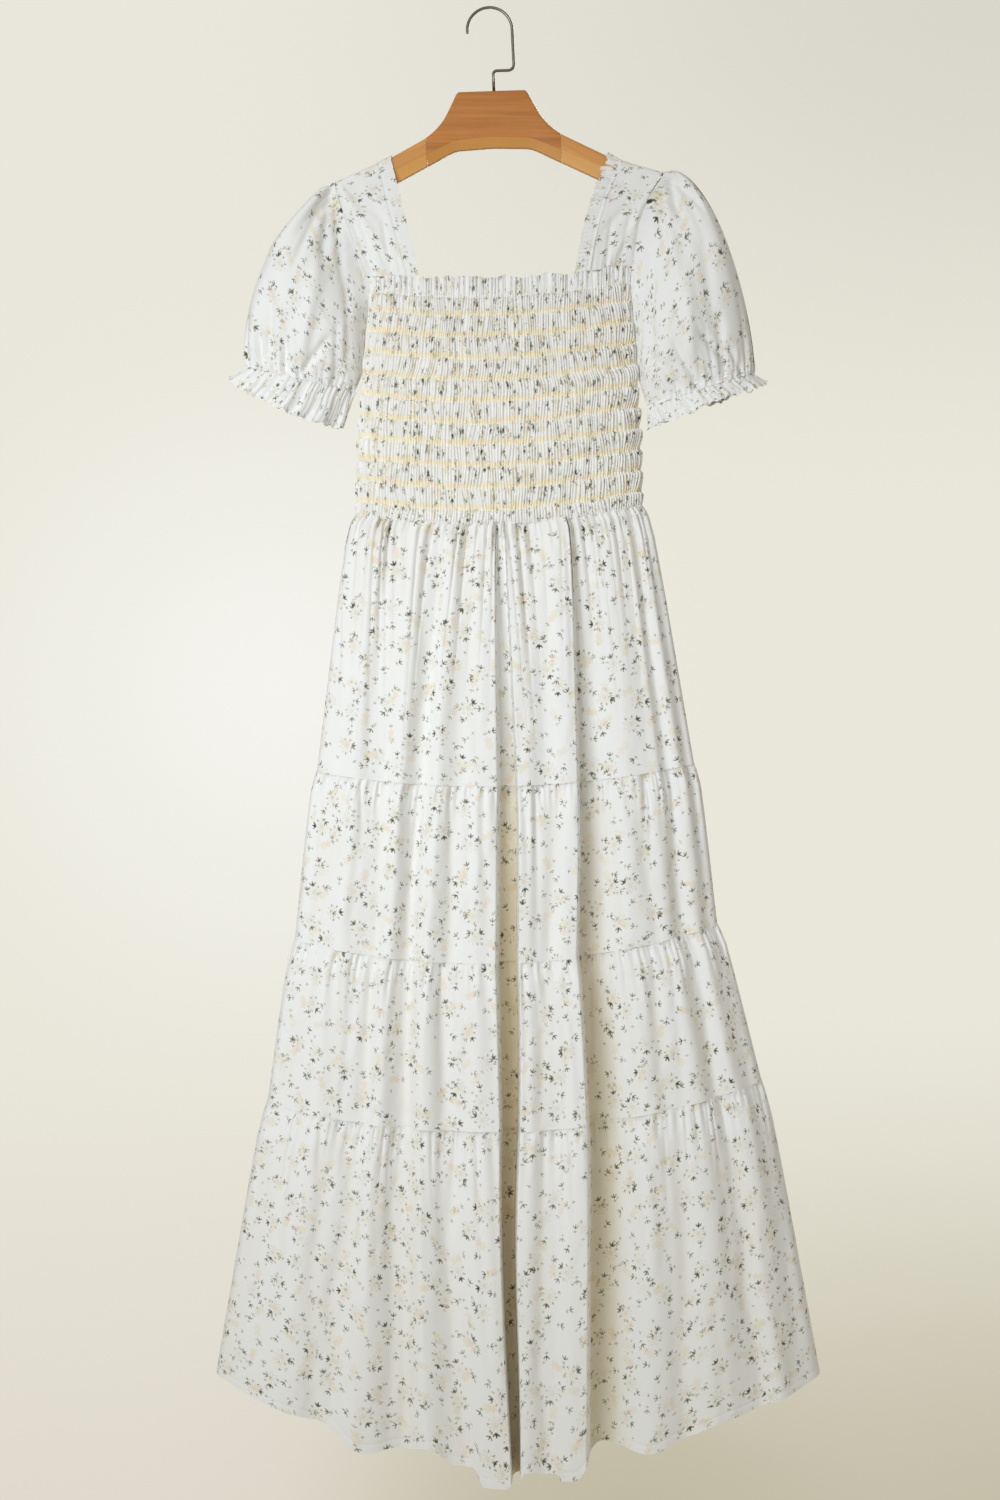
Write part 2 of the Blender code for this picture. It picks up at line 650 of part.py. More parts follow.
def make_sleeves(look, collection):
    """A puff sleeve and its cuff frill on each side."""
    for side, word in ((LEFT, "left"), (RIGHT, "right")):
        faces = {face: armhole_points(side, face) for face in (FRONT, BACK)}
        last = len(faces[FRONT]) - 1
        around = [(FRONT, k) for k in range(last)] + [(BACK, k) for k in range(last, -1, -1)]

        def sleeve(column, share, side=side, faces=faces):
            face, index = column
            return sleeve_point(side, faces[face], face, index, share)

        turned = BACK if side == LEFT else FRONT
        cloth_piece(f"sleeve_{word}", sleeve, around, SLEEVE_ROWS, -turned, look, collection, ring=True)

        def cuff(number, share, side=side):
            angle = number / CUFF_COLUMNS
            face, w = (FRONT, 2 * angle) if angle <= 0.5 else (BACK, 2 - 2 * angle)
            upper = ring_point(SLEEVES[side].elastic, w, face)
            lower = ring_point(SLEEVES[side].frill_edge, w, face)
            downward = (lower - upper).normalized() * SEAM_GAP
            wave = CUFF_WAVE * (0.25 + 0.75 * share) * (1 if number % 2 else -1)
            point = (upper + downward).lerp(lower, share)
            centre = ring_point(SLEEVES[side].frill_edge, 0.5, 0)
            outward = (lower - centre).normalized()
            return point + outward * wave

        numbers = range(CUFF_COLUMNS + 1)
        cloth_piece(f"cuff_frill_{word}", cuff, numbers, (0.0, 1.0), -turned, look, collection, ring=True)


def main():
    empty_scene()
    collection = bpy.data.collections.new("smocked_maxi_dress")
    bpy.context.scene.collection.children.link(collection)
    make_hanger(collection)
    make_straps(PRINTED_COTTON, collection)
    make_neck_frills(PRINTED_COTTON, collection)
    smocked_panel("bodice_front", FRONT, SMOCKED_COTTON, collection)
    smocked_panel("bodice_back", BACK, SMOCKED_COTTON, collection)
    make_sleeves(PRINTED_COTTON, collection)
    make_skirt(PRINTED_COTTON, collection)


main()
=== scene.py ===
import math

import bmesh
import bpy
import numpy as np
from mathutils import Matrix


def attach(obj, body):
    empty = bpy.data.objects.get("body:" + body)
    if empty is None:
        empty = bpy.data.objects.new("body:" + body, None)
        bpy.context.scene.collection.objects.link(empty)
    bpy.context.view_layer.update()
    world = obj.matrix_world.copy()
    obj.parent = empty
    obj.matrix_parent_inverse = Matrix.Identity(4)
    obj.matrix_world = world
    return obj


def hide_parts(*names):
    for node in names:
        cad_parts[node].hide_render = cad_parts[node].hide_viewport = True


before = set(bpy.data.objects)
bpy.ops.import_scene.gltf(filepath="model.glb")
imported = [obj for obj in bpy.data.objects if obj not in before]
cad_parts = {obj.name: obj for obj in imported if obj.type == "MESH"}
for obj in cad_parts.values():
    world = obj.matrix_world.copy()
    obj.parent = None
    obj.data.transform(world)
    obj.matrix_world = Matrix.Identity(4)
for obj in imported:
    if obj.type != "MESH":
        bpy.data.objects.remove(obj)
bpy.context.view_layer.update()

MM = 0.001
LEFT, RIGHT = -1, 1
FRONT, BACK = -1, 1


# The photograph's view: a portrait frame seen square on from 3.2 m in front of the hanger,
# level with the middle of the skirt's first tier. One pixel is a millimetre at the hanger.
lens = bpy.data.cameras.new("camera")
lens.lens = 76.8
lens.sensor_width = 36.0
camera = bpy.data.objects.new("camera", lens)
camera.location = (0.011, -3.2, -0.741)
camera.rotation_euler = (math.pi / 2, 0.0, 0.0)
bpy.context.scene.collection.objects.link(camera)
bpy.context.scene.camera = camera
bpy.context.scene.view_settings.view_transform = "Standard"


# Varnished wood of the hanger: a darker centre block with two paler arms glued to it, all cut
# from beech boards, rounded on top and chamfered below, sanded and given a clear satin varnish.
def linear(code):
    """A colour in sRGB hex, as the linear colour that shaders use."""
    parts = [int(code[k : k + 2], 16) / 255 for k in (1, 3, 5)]
    return (*((c / 12.92 if c <= 0.04045 else ((c + 0.055) / 1.055) ** 2.4) for c in parts), 1.0)


def add(tree, kind, inputs=(), **settings):
    """A new node of a material, with its settings, and with its inputs set or linked."""
    node = tree.nodes.new("ShaderNode" + kind)
    for name, value in settings.items():
        setattr(node, name, value)
    for key, value in dict(inputs).items():
        if isinstance(value, bpy.types.Node):
            value = value.outputs[0]
        if isinstance(value, bpy.types.NodeSocket):
            tree.links.new(value, node.inputs[key])
        else:
            node.inputs[key].default_value = value
    return node


def new_material(name, **sockets):
    """A material with its Principled shader's own sockets set."""
    material = bpy.data.materials.new(name)
    material.use_nodes = True
    shader = material.node_tree.nodes["Principled BSDF"]
    for key, value in sockets.items():
        shader.inputs[key.replace("_", " ")].default_value = value
    return material, material.node_tree, shader


def flow(values, at):
    """A smooth curve through evenly numbered values, read at any places along it."""
    values = np.asarray(values, float)
    last = len(values) - 1
    at = np.clip(np.asarray(at, float), 0.0, last)
    k = np.minimum(at.astype(int), last - 1)
    f = (at - k).reshape(at.shape + (1,) * (values.ndim - 1))
    a, b = values[np.maximum(k - 1, 0)], values[k]
    c, d = values[k + 1], values[np.minimum(k + 2, last)]
    return b + 0.5 * f * (c - a + f * (2 * a - 5 * b + 4 * c - d + f * (3 * (b - c) + d - a)))


def lay_grid(name, places, across, down, outward=True, ring=False, ends=False):
    """A grid of places in millimetres, top row first, as a smooth mesh with its own UV in metres.

    across and down are the UV of each column and row: how far along the cloth or board they lie.
    """
    rows, columns = places.shape[:2]
    bm = bmesh.new()
    bm.loops.layers.uv.new("UVMap")
    bmesh.ops.create_grid(bm, x_segments=columns - 1, y_segments=rows - 1, size=0.5, calc_uvs=True)
    for vert, place in zip(bm.verts, (places[::-1].reshape(-1, 3) * MM).tolist()):
        vert.co = place
    mesh = bpy.data.meshes.new(name)
    bm.to_mesh(mesh)
    bm.free()
    corner = np.empty(len(mesh.loops), np.int32)
    mesh.loops.foreach_get("vertex_index", corner)
    uv = np.stack([np.asarray(across)[corner % columns], -np.asarray(down)[rows - 1 - corner // columns]], 1)
    mesh.uv_layers["UVMap"].uv.foreach_set("vector", (uv * MM).astype(np.float32).ravel())
    bm = bmesh.new()
    bm.from_mesh(mesh)
    if ring:
        bmesh.ops.remove_doubles(bm, verts=bm.verts, dist=0.02 * MM)
    if ends:
        bmesh.ops.holes_fill(bm, edges=bm.edges, sides=0)
        bmesh.ops.recalc_face_normals(bm, faces=bm.faces)
    elif not outward:
        bmesh.ops.reverse_faces(bm, faces=bm.faces)
    bm.to_mesh(mesh)
    bm.free()
    mesh.shade_smooth()
    piece = bpy.data.objects.new(name, mesh)
    bpy.context.scene.collection.objects.link(piece)
    return piece


def mark_painted_fold_shade(piece, painted_fold_shade):
    """Keeps how deep in its folds the cloth lies at each place, from 0 to 1, for the painted warm shade in its colour.
    """
    layer = piece.data.attributes.new("painted_fold_shade", "FLOAT", "POINT")
    layer.data.foreach_set("value", np.clip(painted_fold_shade[::-1], 0.0, 1.0).astype(np.float32).ravel())


def finish_piece(piece, material, slot_name, *nodes):
    """Gives a piece its material and puts it in the place of its solids."""
    piece.data.materials.clear()
    piece.data.materials.append(material)
    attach(piece, "root")
    if nodes:
        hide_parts(*nodes)
    return piece


def mixed(tree, factor, under, over):
    """under and over mixed as colours, each a socket or a colour."""
    node = add(tree, "Mix", {"Factor": factor}, data_type="RGBA")
    for number, value in ((6, under), (7, over)):
        if isinstance(value, bpy.types.NodeSocket):
            tree.links.new(value, node.inputs[number])
        else:
            node.inputs[number].default_value = value
    return node.outputs[2]


def varnished_beech(name, light, dark, bevel, slope):
    """Beech under clear varnish: soft brown grain lines and short ray flecks, a satin gloss, and a bevel painted paler
    as a painted reflection.
    """
    material, tree, shader = new_material(name, Roughness=0.42, Coat_Weight=0.35, Coat_Roughness=0.22)
    place = add(tree, "TexCoord").outputs["Object"]
    along = add(tree, "VectorRotate", {"Vector": place, "Angle": slope}, rotation_type="Y_AXIS")
    # Growth rings in a flat-sawn board: about 2.5 mm apart, and drawn out along the grain.
    board = add(tree, "VectorMath", {0: along, 1: (7.0, 90.0, 210.0)}, operation="MULTIPLY")
    grain = add(tree, "TexNoise", {"Vector": board, "Scale": 1.0, "Detail": 4.0, "Roughness": 0.6, "Distortion": 0.6})
    # Ray flecks: dashes about 3 mm long and 0.4 mm high.
    dashes = add(tree, "VectorMath", {0: along, 1: (330.0, 800.0, 2300.0)}, operation="MULTIPLY")
    fleck = add(tree, "TexNoise", {"Vector": dashes, "Scale": 1.0, "Detail": 1.0})
    flecks = add(tree, "MapRange", {"Value": fleck.outputs["Fac"], "From Min": 0.6, "From Max": 0.74, "To Max": 0.35})
    # Broad changes of tone across the board, about 40 mm wide.
    tone = add(tree, "TexNoise", {"Vector": along, "Scale": 24.0, "Detail": 2.0})
    both = add(tree, "Math", {0: grain.outputs["Fac"], 1: tone.outputs["Fac"], 2: -0.48}, operation="MULTIPLY_ADD")
    spread = add(tree, "MapRange", {"Value": grain.outputs["Fac"], "From Min": 0.34, "From Max": 0.68})
    base = mixed(tree, spread, linear(light), linear(dark))
    # Painted reflection: the bevel under the hanger is painted paler, standing in for the light its varnish reflects
    # from below; the UV counts corners round a section.
    corner = add(tree, "SeparateXYZ", {0: add(tree, "UVMap", uv_map="UVMap")})
    middle = add(tree, "Math", {0: corner, 1: 0.0168}, operation="SUBTRACT")
    aside = add(tree, "Math", {0: middle}, operation="ABSOLUTE")
    painted_bevel_reflection = add(tree, "MapRange", {"Value": aside, "From Min": 0.0041, "From Max": 0.0036, "To Max": 0.8})
    stained = mixed(tree, flecks, base, linear(dark))
    tree.links.new(mixed(tree, painted_bevel_reflection, stained, linear(bevel)), shader.inputs["Base Color"])
    bump = add(tree, "Bump", {"Height": both, "Strength": 0.12, "Distance": 0.0004})
    tree.links.new(bump.outputs[0], shader.inputs["Normal"])
    return material


TILT = math.radians(1.9)
ARM_HALF = 8.0
JOINT_X = 67.0
# How far out along the level hanger, and the heights there of its top, its chamfer's start and its underside.
HANGER_SHAPE = np.array(
    [
        (0.0, -83.0, -129.5, -139.5),
        (33.5, -83.0, -131.5, -141.0),
        (36.0, -86.0, -132.0, -141.5),
        (41.0, -96.0, -133.5, -143.0),
        (48.5, -109.5, -136.5, -146.5),
        (57.0, -119.5, -140.5, -151.0),
        (67.0, -127.5, -145.0, -156.0),
        (78.0, -133.5, -150.0, -161.5),
        (106.0, -148.0, -162.5, -175.5),
        (140.0, -165.0, -179.0, -192.0),
        (152.0, -171.0, -185.0, -197.0),
        (157.0, -176.0, -186.5, -193.0),
    ]
)


def tilted(x, y, z):
    """Places of the level hanger, turned with it about the point where a rail carries it."""
    return np.stack([x * math.cos(TILT) - z * math.sin(TILT), y, x * math.sin(TILT) + z * math.cos(TILT)], -1)


def wood_ring(x, top, chamfer, bottom):
    """A section through the wood, with its top edges rounded and its lower edges chamfered."""
    s, r, c = ARM_HALF, 3.6, 4.5
    turns = np.radians([0, 22, 45, 68, 90])
    right = [(s, top - r - 1.0)] + [(s - r + r * math.cos(a), top - r + r * math.sin(a)) for a in turns]
    left = [(-y, z) for y, z in reversed(right)]
    under = [(-s, chamfer + 1.2), (-s + 0.2, chamfer + 0.3), (-s + 0.8, chamfer - 0.8), (-s + c - 0.6, bottom + 0.6), (-s + c + 0.8, bottom)]
    ring = right + left + under + [(-y, z) for y, z in reversed(under)]
    ring.append(ring[0])
    y, z = np.array(ring).T
    return tilted(np.full(y.shape, x), y, z)


def hanger_bar(name, numbers, sides):
    """A piece of the hanger, lofted through sections at the numbered places along its shape."""
    stations = [HANGER_SHAPE[int(k)] * (1 - k % 1) + HANGER_SHAPE[int(k) + 1] * (k % 1) if k < 2 else flow(HANGER_SHAPE[2:], k - 2) for k in numbers]
    rings = np.array([wood_ring(side * x, top, chamfer, bottom) for side, (x, top, chamfer, bottom) in zip(sides, stations)])
    bar = lay_grid(name, rings, np.arange(rings.shape[1]), np.arange(rings.shape[0]), ring=True, ends=True)
    bar.data.set_sharp_from_angle(angle=math.radians(38))
    return bar


half_block = np.concatenate([[0.0, 0.5], np.linspace(0.94, 6.0, 34)])
block_places = np.concatenate([half_block[:0:-1], half_block])
block_sides = np.concatenate([np.full(len(half_block) - 1, LEFT), np.full(len(half_block), RIGHT)])
block = hanger_bar("hanger_block", block_places, block_sides)
finish_piece(block, varnished_beech("varnished_beech_block", "#cf8536", "#b26a22", "#dd9f50", 0.0), "block_wood", "hanger_centre")
for side, word in ((LEFT, "left"), (RIGHT, "right")):
    arm_places = np.linspace(6.02, 11.0, 40)
    arm = hanger_bar(f"hanger_arm_wood_{word}", arm_places, np.full(40, side))
    beech = varnished_beech(f"varnished_beech_arm_{word}", "#e0a055", "#cb8538", "#eab060", side * math.radians(-27) - TILT)
    finish_piece(arm, beech, "arm_wood", f"hanger_arm_{word}")


# The hook: one length of 3 mm steel wire, bent round a former and cranked back to the middle,
# nickel plated, and driven into a hole in the top of the block.
def nickelled_wire():
    """Nickel plating on drawn wire: grey-white metal, fairly sharp, with faint marks along it."""
    material, tree, shader = new_material("nickelled_wire", Metallic=1.0, Roughness=0.3)
    place = add(tree, "TexCoord").outputs["Object"]
    marks = add(tree, "TexNoise", {"Vector": place, "Scale": 900.0, "Detail": 3.0})
    shade = mixed(tree, marks.outputs["Fac"], linear("#77726a"), linear("#98938a"))
    tree.links.new(shade, shader.inputs["Base Color"])
    bump = add(tree, "Bump", {"Height": marks.outputs["Fac"], "Strength": 0.03, "Distance": 0.0001})
    tree.links.new(bump.outputs[0], shader.inputs["Normal"])
    return material


WIRE_RADIUS = 1.5
HOOK_RADIUS = 22.4


def bend(x, z, radius, start, stop, steps):
    """Places round a bend of the wire, with the angles in degrees."""
    angles = np.radians(np.linspace(start, stop, steps))
    return np.stack([x + radius * np.cos(angles), z + radius * np.sin(angles)], 1)


def hook_wire():
    """The wire swept along its route: a ring carried round the bends, with a domed tip."""
    route = np.concatenate(
        [
            bend(0.0, WIRE_RADIUS - HOOK_RADIUS, HOOK_RADIUS, 184.0, 0.0, 48),
            bend(17.0, -56.0, 6.0, 0.0, -90.0, 10),
            bend(5.7, -65.5, 3.5, 90.0, 180.0, 8),
            [(2.2, -84.0)],
        ]
    )
    run = np.gradient(route, axis=0)
    run /= np.linalg.norm(run, axis=1, keepdims=True)
    side = np.stack([-run[:, 1], run[:, 0]], 1)
    dome = [(0.0, 0.0), (-0.15, 0.55), (0.1, 0.95), (0.9, 1.0)]
    centres = [route[0] + run[0] * (back - 0.9) * WIRE_RADIUS for back, _ in dome[:3]] + list(route)
    radii = [size for _, size in dome[:3]] + [1.0] * len(route)
    sides = [side[0]] * 3 + list(side)
    turns = np.linspace(0.0, 2 * math.pi, 17)
    rings = []
    for centre, size, across in zip(centres, radii, sides):
        reach = WIRE_RADIUS * max(size, 0.02)
        x = centre[0] + across[0] * reach * np.cos(turns)
        z = centre[1] + across[1] * reach * np.cos(turns)
        rings.append(tilted(x, reach * np.sin(turns), z))
    rings = np.array(rings)
    return lay_grid("hook_wire", rings, np.arange(17), np.arange(len(rings)), ring=True, ends=True)


finish_piece(hook_wire(), nickelled_wire(), "hook_wire", "hanger_hook")


# The printed cloth: a light cotton crepe, white, with a scattered print of open daisies,
# dark leaf sprigs and faint leaves in soft greens, cream and peach, printed before it was cut.
def leaf_fan():
    """A node group that draws leaves or petals round a point: 1 on their edge, less inside."""
    group = bpy.data.node_groups.new("leaf_fan", "ShaderNodeTree")
    sockets = ("Sector", "Reach", "Middle", "Half Length", "Half Width")
    group.interface.new_socket("Point", in_out="INPUT", socket_type="NodeSocketVector")
    for name in sockets:
        group.interface.new_socket(name, in_out="INPUT", socket_type="NodeSocketFloat")
    group.interface.new_socket("Edge", in_out="OUTPUT", socket_type="NodeSocketFloat")
    given = group.nodes.new("NodeGroupInput").outputs
    out = group.nodes.new("NodeGroupOutput")
    apart = add(group, "SeparateXYZ", {0: given["Point"]})
    around = add(group, "Math", {0: apart.outputs[1], 1: apart.outputs[0]}, operation="ARCTAN2")
    radius = add(group, "VectorMath", {0: given["Point"]}, operation="LENGTH").outputs["Value"]
    sectors = add(group, "Math", {0: around, 1: given["Sector"]}, operation="DIVIDE")
    nearest = add(group, "Math", {0: sectors}, operation="ROUND")
    turn = add(group, "Math", {0: sectors, 1: nearest}, operation="SUBTRACT")
    angle = add(group, "Math", {0: turn, 1: given["Sector"]}, operation="MULTIPLY")
    sideways = add(group, "Math", {0: angle, 1: radius}, operation="MULTIPLY")
    beyond = add(group, "Math", {0: radius, 1: given["Middle"]}, operation="SUBTRACT")
    length = add(group, "Math", {0: beyond, 1: given["Half Length"]}, operation="DIVIDE")
    width = add(group, "Math", {0: sideways, 1: given["Half Width"]}, operation="DIVIDE")
    long2 = add(group, "Math", {0: length, 1: 2.0}, operation="POWER")
    wide2 = add(group, "Math", {0: width, 1: 2.0}, operation="POWER")
    total = add(group, "Math", {0: long2, 1: wide2}, operation="ADD")
    turned = add(group, "Math", {0: around}, operation="ABSOLUTE")
    outside = add(group, "Math", {0: turned, 1: given["Reach"]}, operation="GREATER_THAN")
    far = add(group, "Math", {0: outside, 1: 20.0, 2: total}, operation="MULTIPLY_ADD")
    edge = add(group, "Math", {0: far}, operation="SQRT")
    group.links.new(edge.outputs[0], out.inputs["Edge"])
    return group


LEAF_FAN = leaf_fan()
ROUND = 2 * math.pi
# Each motif: its cell and the turn of its lattice, the share of cells that carry it, and its fans. A fan: offset
# from the motif's middle, sector and reach in radians, middle, half length and half width in mm, and its ink.
MOTIFS = (
    (31.0, 0.31, 0.85, (
        (0.0, ROUND / 8, 9.0, 4.6, 3.1, 1.3, "#ddd5bd", 0.55, "edge"),
        (0.0, ROUND, 9.0, 0.0, 1.7, 1.7, "#e9dba8", 0.75, "fill"),
        (0.0, ROUND / 7, 2.3, 7.2, 1.6, 0.66, "#94997e", 0.85, "fill"),
        (6.2, 0.8, 1.3, 2.6, 2.4, 0.85, "#6a6c54", 0.95, "fill"),
        (6.6, 1.4, 0.7, 0.9, 2.1, 1.4, "#3f4032", 0.97, "fill"),
    )),
    (20.5, 1.12, 0.88, (
        (0.0, 0.75, 1.2, 3.0, 1.8, 0.66, "#7a7e62", 0.9, "fill"),
        (0.0, 1.4, 0.7, 0.8, 1.65, 1.1, "#424335", 0.96, "fill"),
        (-3.6, 0.9, 0.9, 1.6, 1.4, 0.6, "#8c9176", 0.85, "fill"),
    )),
    (16.0, 2.35, 0.5, (
        (0.0, 1.0, 1.0, 1.6, 1.4, 0.6, "#8f947a", 0.85, "fill"),
    )),
    (34.0, 0.77, 0.85, (
        (0.0, ROUND / 5, 9.0, 2.2, 2.1, 1.3, "#efdccb", 0.7, "fill"),
        (5.5, 0.9, 1.4, 1.9, 1.6, 0.6, "#a3a386", 0.8, "fill"),
        (-6.0, ROUND / 5, 9.0, 2.4, 2.2, 1.3, "#ebe5c4", 0.7, "fill"),
    )),
)


def printed_crepe(name, ground, spread=1.0):
    """White cotton crepe with its print: matt, with a pebbled weave; spread widens the leaves where it is drawn up."""
    material, tree, shader = new_material(name, Roughness=0.88, Sheen_Weight=0.12, Sheen_Roughness=0.5)
    shader.inputs["Specular IOR Level"].default_value = 0.25
    uv = add(tree, "UVMap", uv_map="UVMap")
    cloth_mm = add(tree, "VectorMath", {0: uv, "Scale": 1000.0}, operation="SCALE")
    blur = add(tree, "TexNoise", {"Vector": cloth_mm, "Scale": 0.45, "Detail": 2.0})
    shift = add(tree, "VectorMath", {0: blur.outputs["Color"], 1: (0.5, 0.5, 0.5)}, operation="SUBTRACT")
    wander = add(tree, "VectorMath", {0: shift, "Scale": 1.6}, operation="SCALE")
    inked = add(tree, "VectorMath", {0: cloth_mm, 1: wander}, operation="ADD")
    tone = add(tree, "TexNoise", {"Vector": cloth_mm, "Scale": 0.02, "Detail": 3.0})
    colour = mixed(tree, tone.outputs["Fac"], linear(ground), linear("#f0f0ed"))
    for cell, turn, share, fans in MOTIFS:
        lattice = add(tree, "VectorRotate", {"Vector": inked, "Angle": turn}, rotation_type="Z_AXIS")
        cells = add(tree, "TexVoronoi", {"Vector": lattice, "Scale": 1.0 / cell, "Randomness": 0.6}, voronoi_dimensions="2D")
        chance = add(tree, "SeparateColor", {0: cells.outputs["Color"]})
        place = add(tree, "VectorMath", {0: lattice, 1: cells.outputs["Position"]}, operation="SUBTRACT")
        spin = add(tree, "Math", {0: chance.outputs[0], 1: 50.0}, operation="MULTIPLY")
        there = add(tree, "VectorRotate", {"Vector": place, "Angle": spin}, rotation_type="Z_AXIS")
        carried = add(tree, "Math", {0: chance.outputs[1], 1: share}, operation="LESS_THAN")
        fresh = add(tree, "MapRange", {"Value": chance.outputs[2], "To Min": 0.55, "To Max": 1.0})
        carried = add(tree, "Math", {0: carried, 1: fresh}, operation="MULTIPLY")
        for offset, sector, reach, middle, half_length, half_width, ink, strength, style in fans:
            point = add(tree, "VectorMath", {0: there, 1: (offset, 0.0, 0.0)}, operation="SUBTRACT")
            fan = add(tree, "Group", (), node_tree=LEAF_FAN)
            tree.links.new(point.outputs[0], fan.inputs["Point"])
            for key, value in (("Sector", sector), ("Reach", reach), ("Middle", middle), ("Half Length", half_length), ("Half Width", half_width)):
                fan.inputs[key].default_value = value * (spread if key.startswith("Half") else 1.0)
            edge = fan.outputs[0]
            if style == "edge":
                near = add(tree, "Math", {0: edge, 1: 1.0}, operation="SUBTRACT")
                edge = add(tree, "Math", {0: near}, operation="ABSOLUTE").outputs[0]
                limits = {"From Min": 0.42, "From Max": 0.12}
            else:
                limits = {"From Min": 1.18, "From Max": 0.82}
            drawn = add(tree, "MapRange", {"Value": edge, **limits, "To Max": strength})
            amount = add(tree, "Math", {0: drawn, 1: carried}, operation="MULTIPLY")
            colour = mixed(tree, amount.outputs[0], colour, linear(ink))
    # Painted warm shade: deep in the folds the colour is multiplied by a warm beige, standing in for the shade and the
    # warm light that comes through the layers behind.
    painted_fold_shade = add(tree, "Attribute", attribute_name="painted_fold_shade")
    painted_warm_shade = add(tree, "Mix", {"Factor": painted_fold_shade.outputs["Fac"], 6: colour, 7: linear("#f1e3c5")}, data_type="RGBA", blend_type="MULTIPLY")
    tree.links.new(painted_warm_shade.outputs[2], shader.inputs["Base Color"])
    # The crepe's pebble is about 0.5 mm; it is drawn at 1.1 mm, or it would not show.
    pebble = add(tree, "TexNoise", {"Vector": cloth_mm, "Scale": 0.9, "Detail": 2.0})
    bump = add(tree, "Bump", {"Height": pebble.outputs["Fac"], "Strength": 0.25, "Distance": 0.0005})
    tree.links.new(bump.outputs[0], shader.inputs["Normal"])
    return material


crepe = printed_crepe("printed_cotton_crepe", "#f4f4f2")


# Smocked bodice, front and back: the same cloth drawn up to less than half its width by ten rows of
# cream elastic thread. It stands in fine upright ribs that puff out between the rows.
# A level line of the dress: left and right ends, height at the middle, rise of its ends, lean, front and back depth.
FRILL_TOP = np.array((-123.0, 145.0, -271.0, 8.0, 5.0, 20.0, 15.0))
NECK_ELASTIC = np.array((-122.5, 145.0, -291.0, 12.0, 5.0, 20.0, 15.0))
WAIST = np.array((-133.0, 153.0, -517.0, 15.0, 5.0, 24.0, 16.0))
UNDERARM_Z = -366.0
RIBS = 104
PUFFS = 11
BODICE_CLOTH = 680.0


def blend_lines(upper, lower, share):
    share = np.asarray(share, float)[..., None]
    return upper + (lower - upper) * share


def rounded(t):
    return np.maximum(0.0, 1.0 - np.abs(t) ** 3) ** (1 / 3)


def on_body(line, t, face, inward=0.0, drop=0.0):
    """Places on the dress's level lines, pushed in by folds and let down by a drop."""
    left, right, mid_z, rise, lean, front, back = np.moveaxis(line, -1, 0)
    depth = front if face == FRONT else back
    y = np.maximum(depth * rounded(t) - inward, 0.0)
    z = mid_z + rise * t * t + lean * t - drop
    return np.stack(np.broadcast_arrays((left + right) / 2 + (right - left) / 2 * t, face * y, z), -1)


def normals_of(places, face):
    """Unit normals of a grid of places, pointing out of the dress on that face."""
    normal = np.cross(np.gradient(places, axis=1), np.gradient(places, axis=0))
    normal /= np.maximum(np.linalg.norm(normal, axis=2, keepdims=True), 1e-9)
    return normal * face


ARC_T = np.linspace(-1.0, 1.0, 2001)
ARC = np.concatenate([[0.0], np.cumsum(np.hypot(np.diff(ARC_T) * 140.0, np.diff(rounded(ARC_T) * 22.0)))])
ARC /= ARC[-1]


def bodice_t(line, face, share):
    """t at a share of the way along a bodice section; above the underarm it stops at the armhole."""
    line = np.atleast_2d(line)
    ends = []
    for side in (LEFT, RIGHT):
        z = line[:, 2] + line[:, 3] + line[:, 4] * side
        top = NECK_ELASTIC[2] + NECK_ELASTIC[3]
        open_ = np.clip((z - UNDERARM_Z) / (top - UNDERARM_Z), 0.0, 1.0) ** 0.5
        ends.append(np.interp(-((1.0 - (9.0 * open_ / 20.0) ** 3) ** (1 / 3)), ARC_T, ARC))
    start, stop = ends[0][:, None], 1.0 - ends[1][:, None]
    return np.interp(start + (stop - start) * share, ARC, ARC_T)


def noise(at, seed, size=4096):
    """Smooth chance values between -1 and 1, one for each unit along."""
    values = np.random.default_rng(seed).uniform(-1, 1, size)
    at = np.asarray(at, float) + 1000.0
    k = np.floor(at).astype(int)
    f = at - k
    f = f * f * (3 - 2 * f)
    return values[k % size] * (1 - f) + values[(k + 1) % size] * f


ROW_Z = np.concatenate([[NECK_ELASTIC[2]], np.linspace(-309.0, -502.5, 10), [WAIST[2]]])


def rib_phase(share, numbers, seed):
    """How many ribs lie to the left: each elastic row gathers them a little differently."""
    phases = np.array([RIBS * share + 0.5 * noise(share * RIBS / 2.5, seed + k) + 0.9 * noise(share * RIBS / 9, seed + 30 + k) for k in range(len(ROW_Z))])
    k = np.minimum(numbers.astype(int), len(ROW_Z) - 2)
    f = (numbers - k)[:, None]
    return phases[k] * (1 - f) + phases[k + 1] * f


SMOCK_SEEDS = {FRONT: 11, BACK: 51}


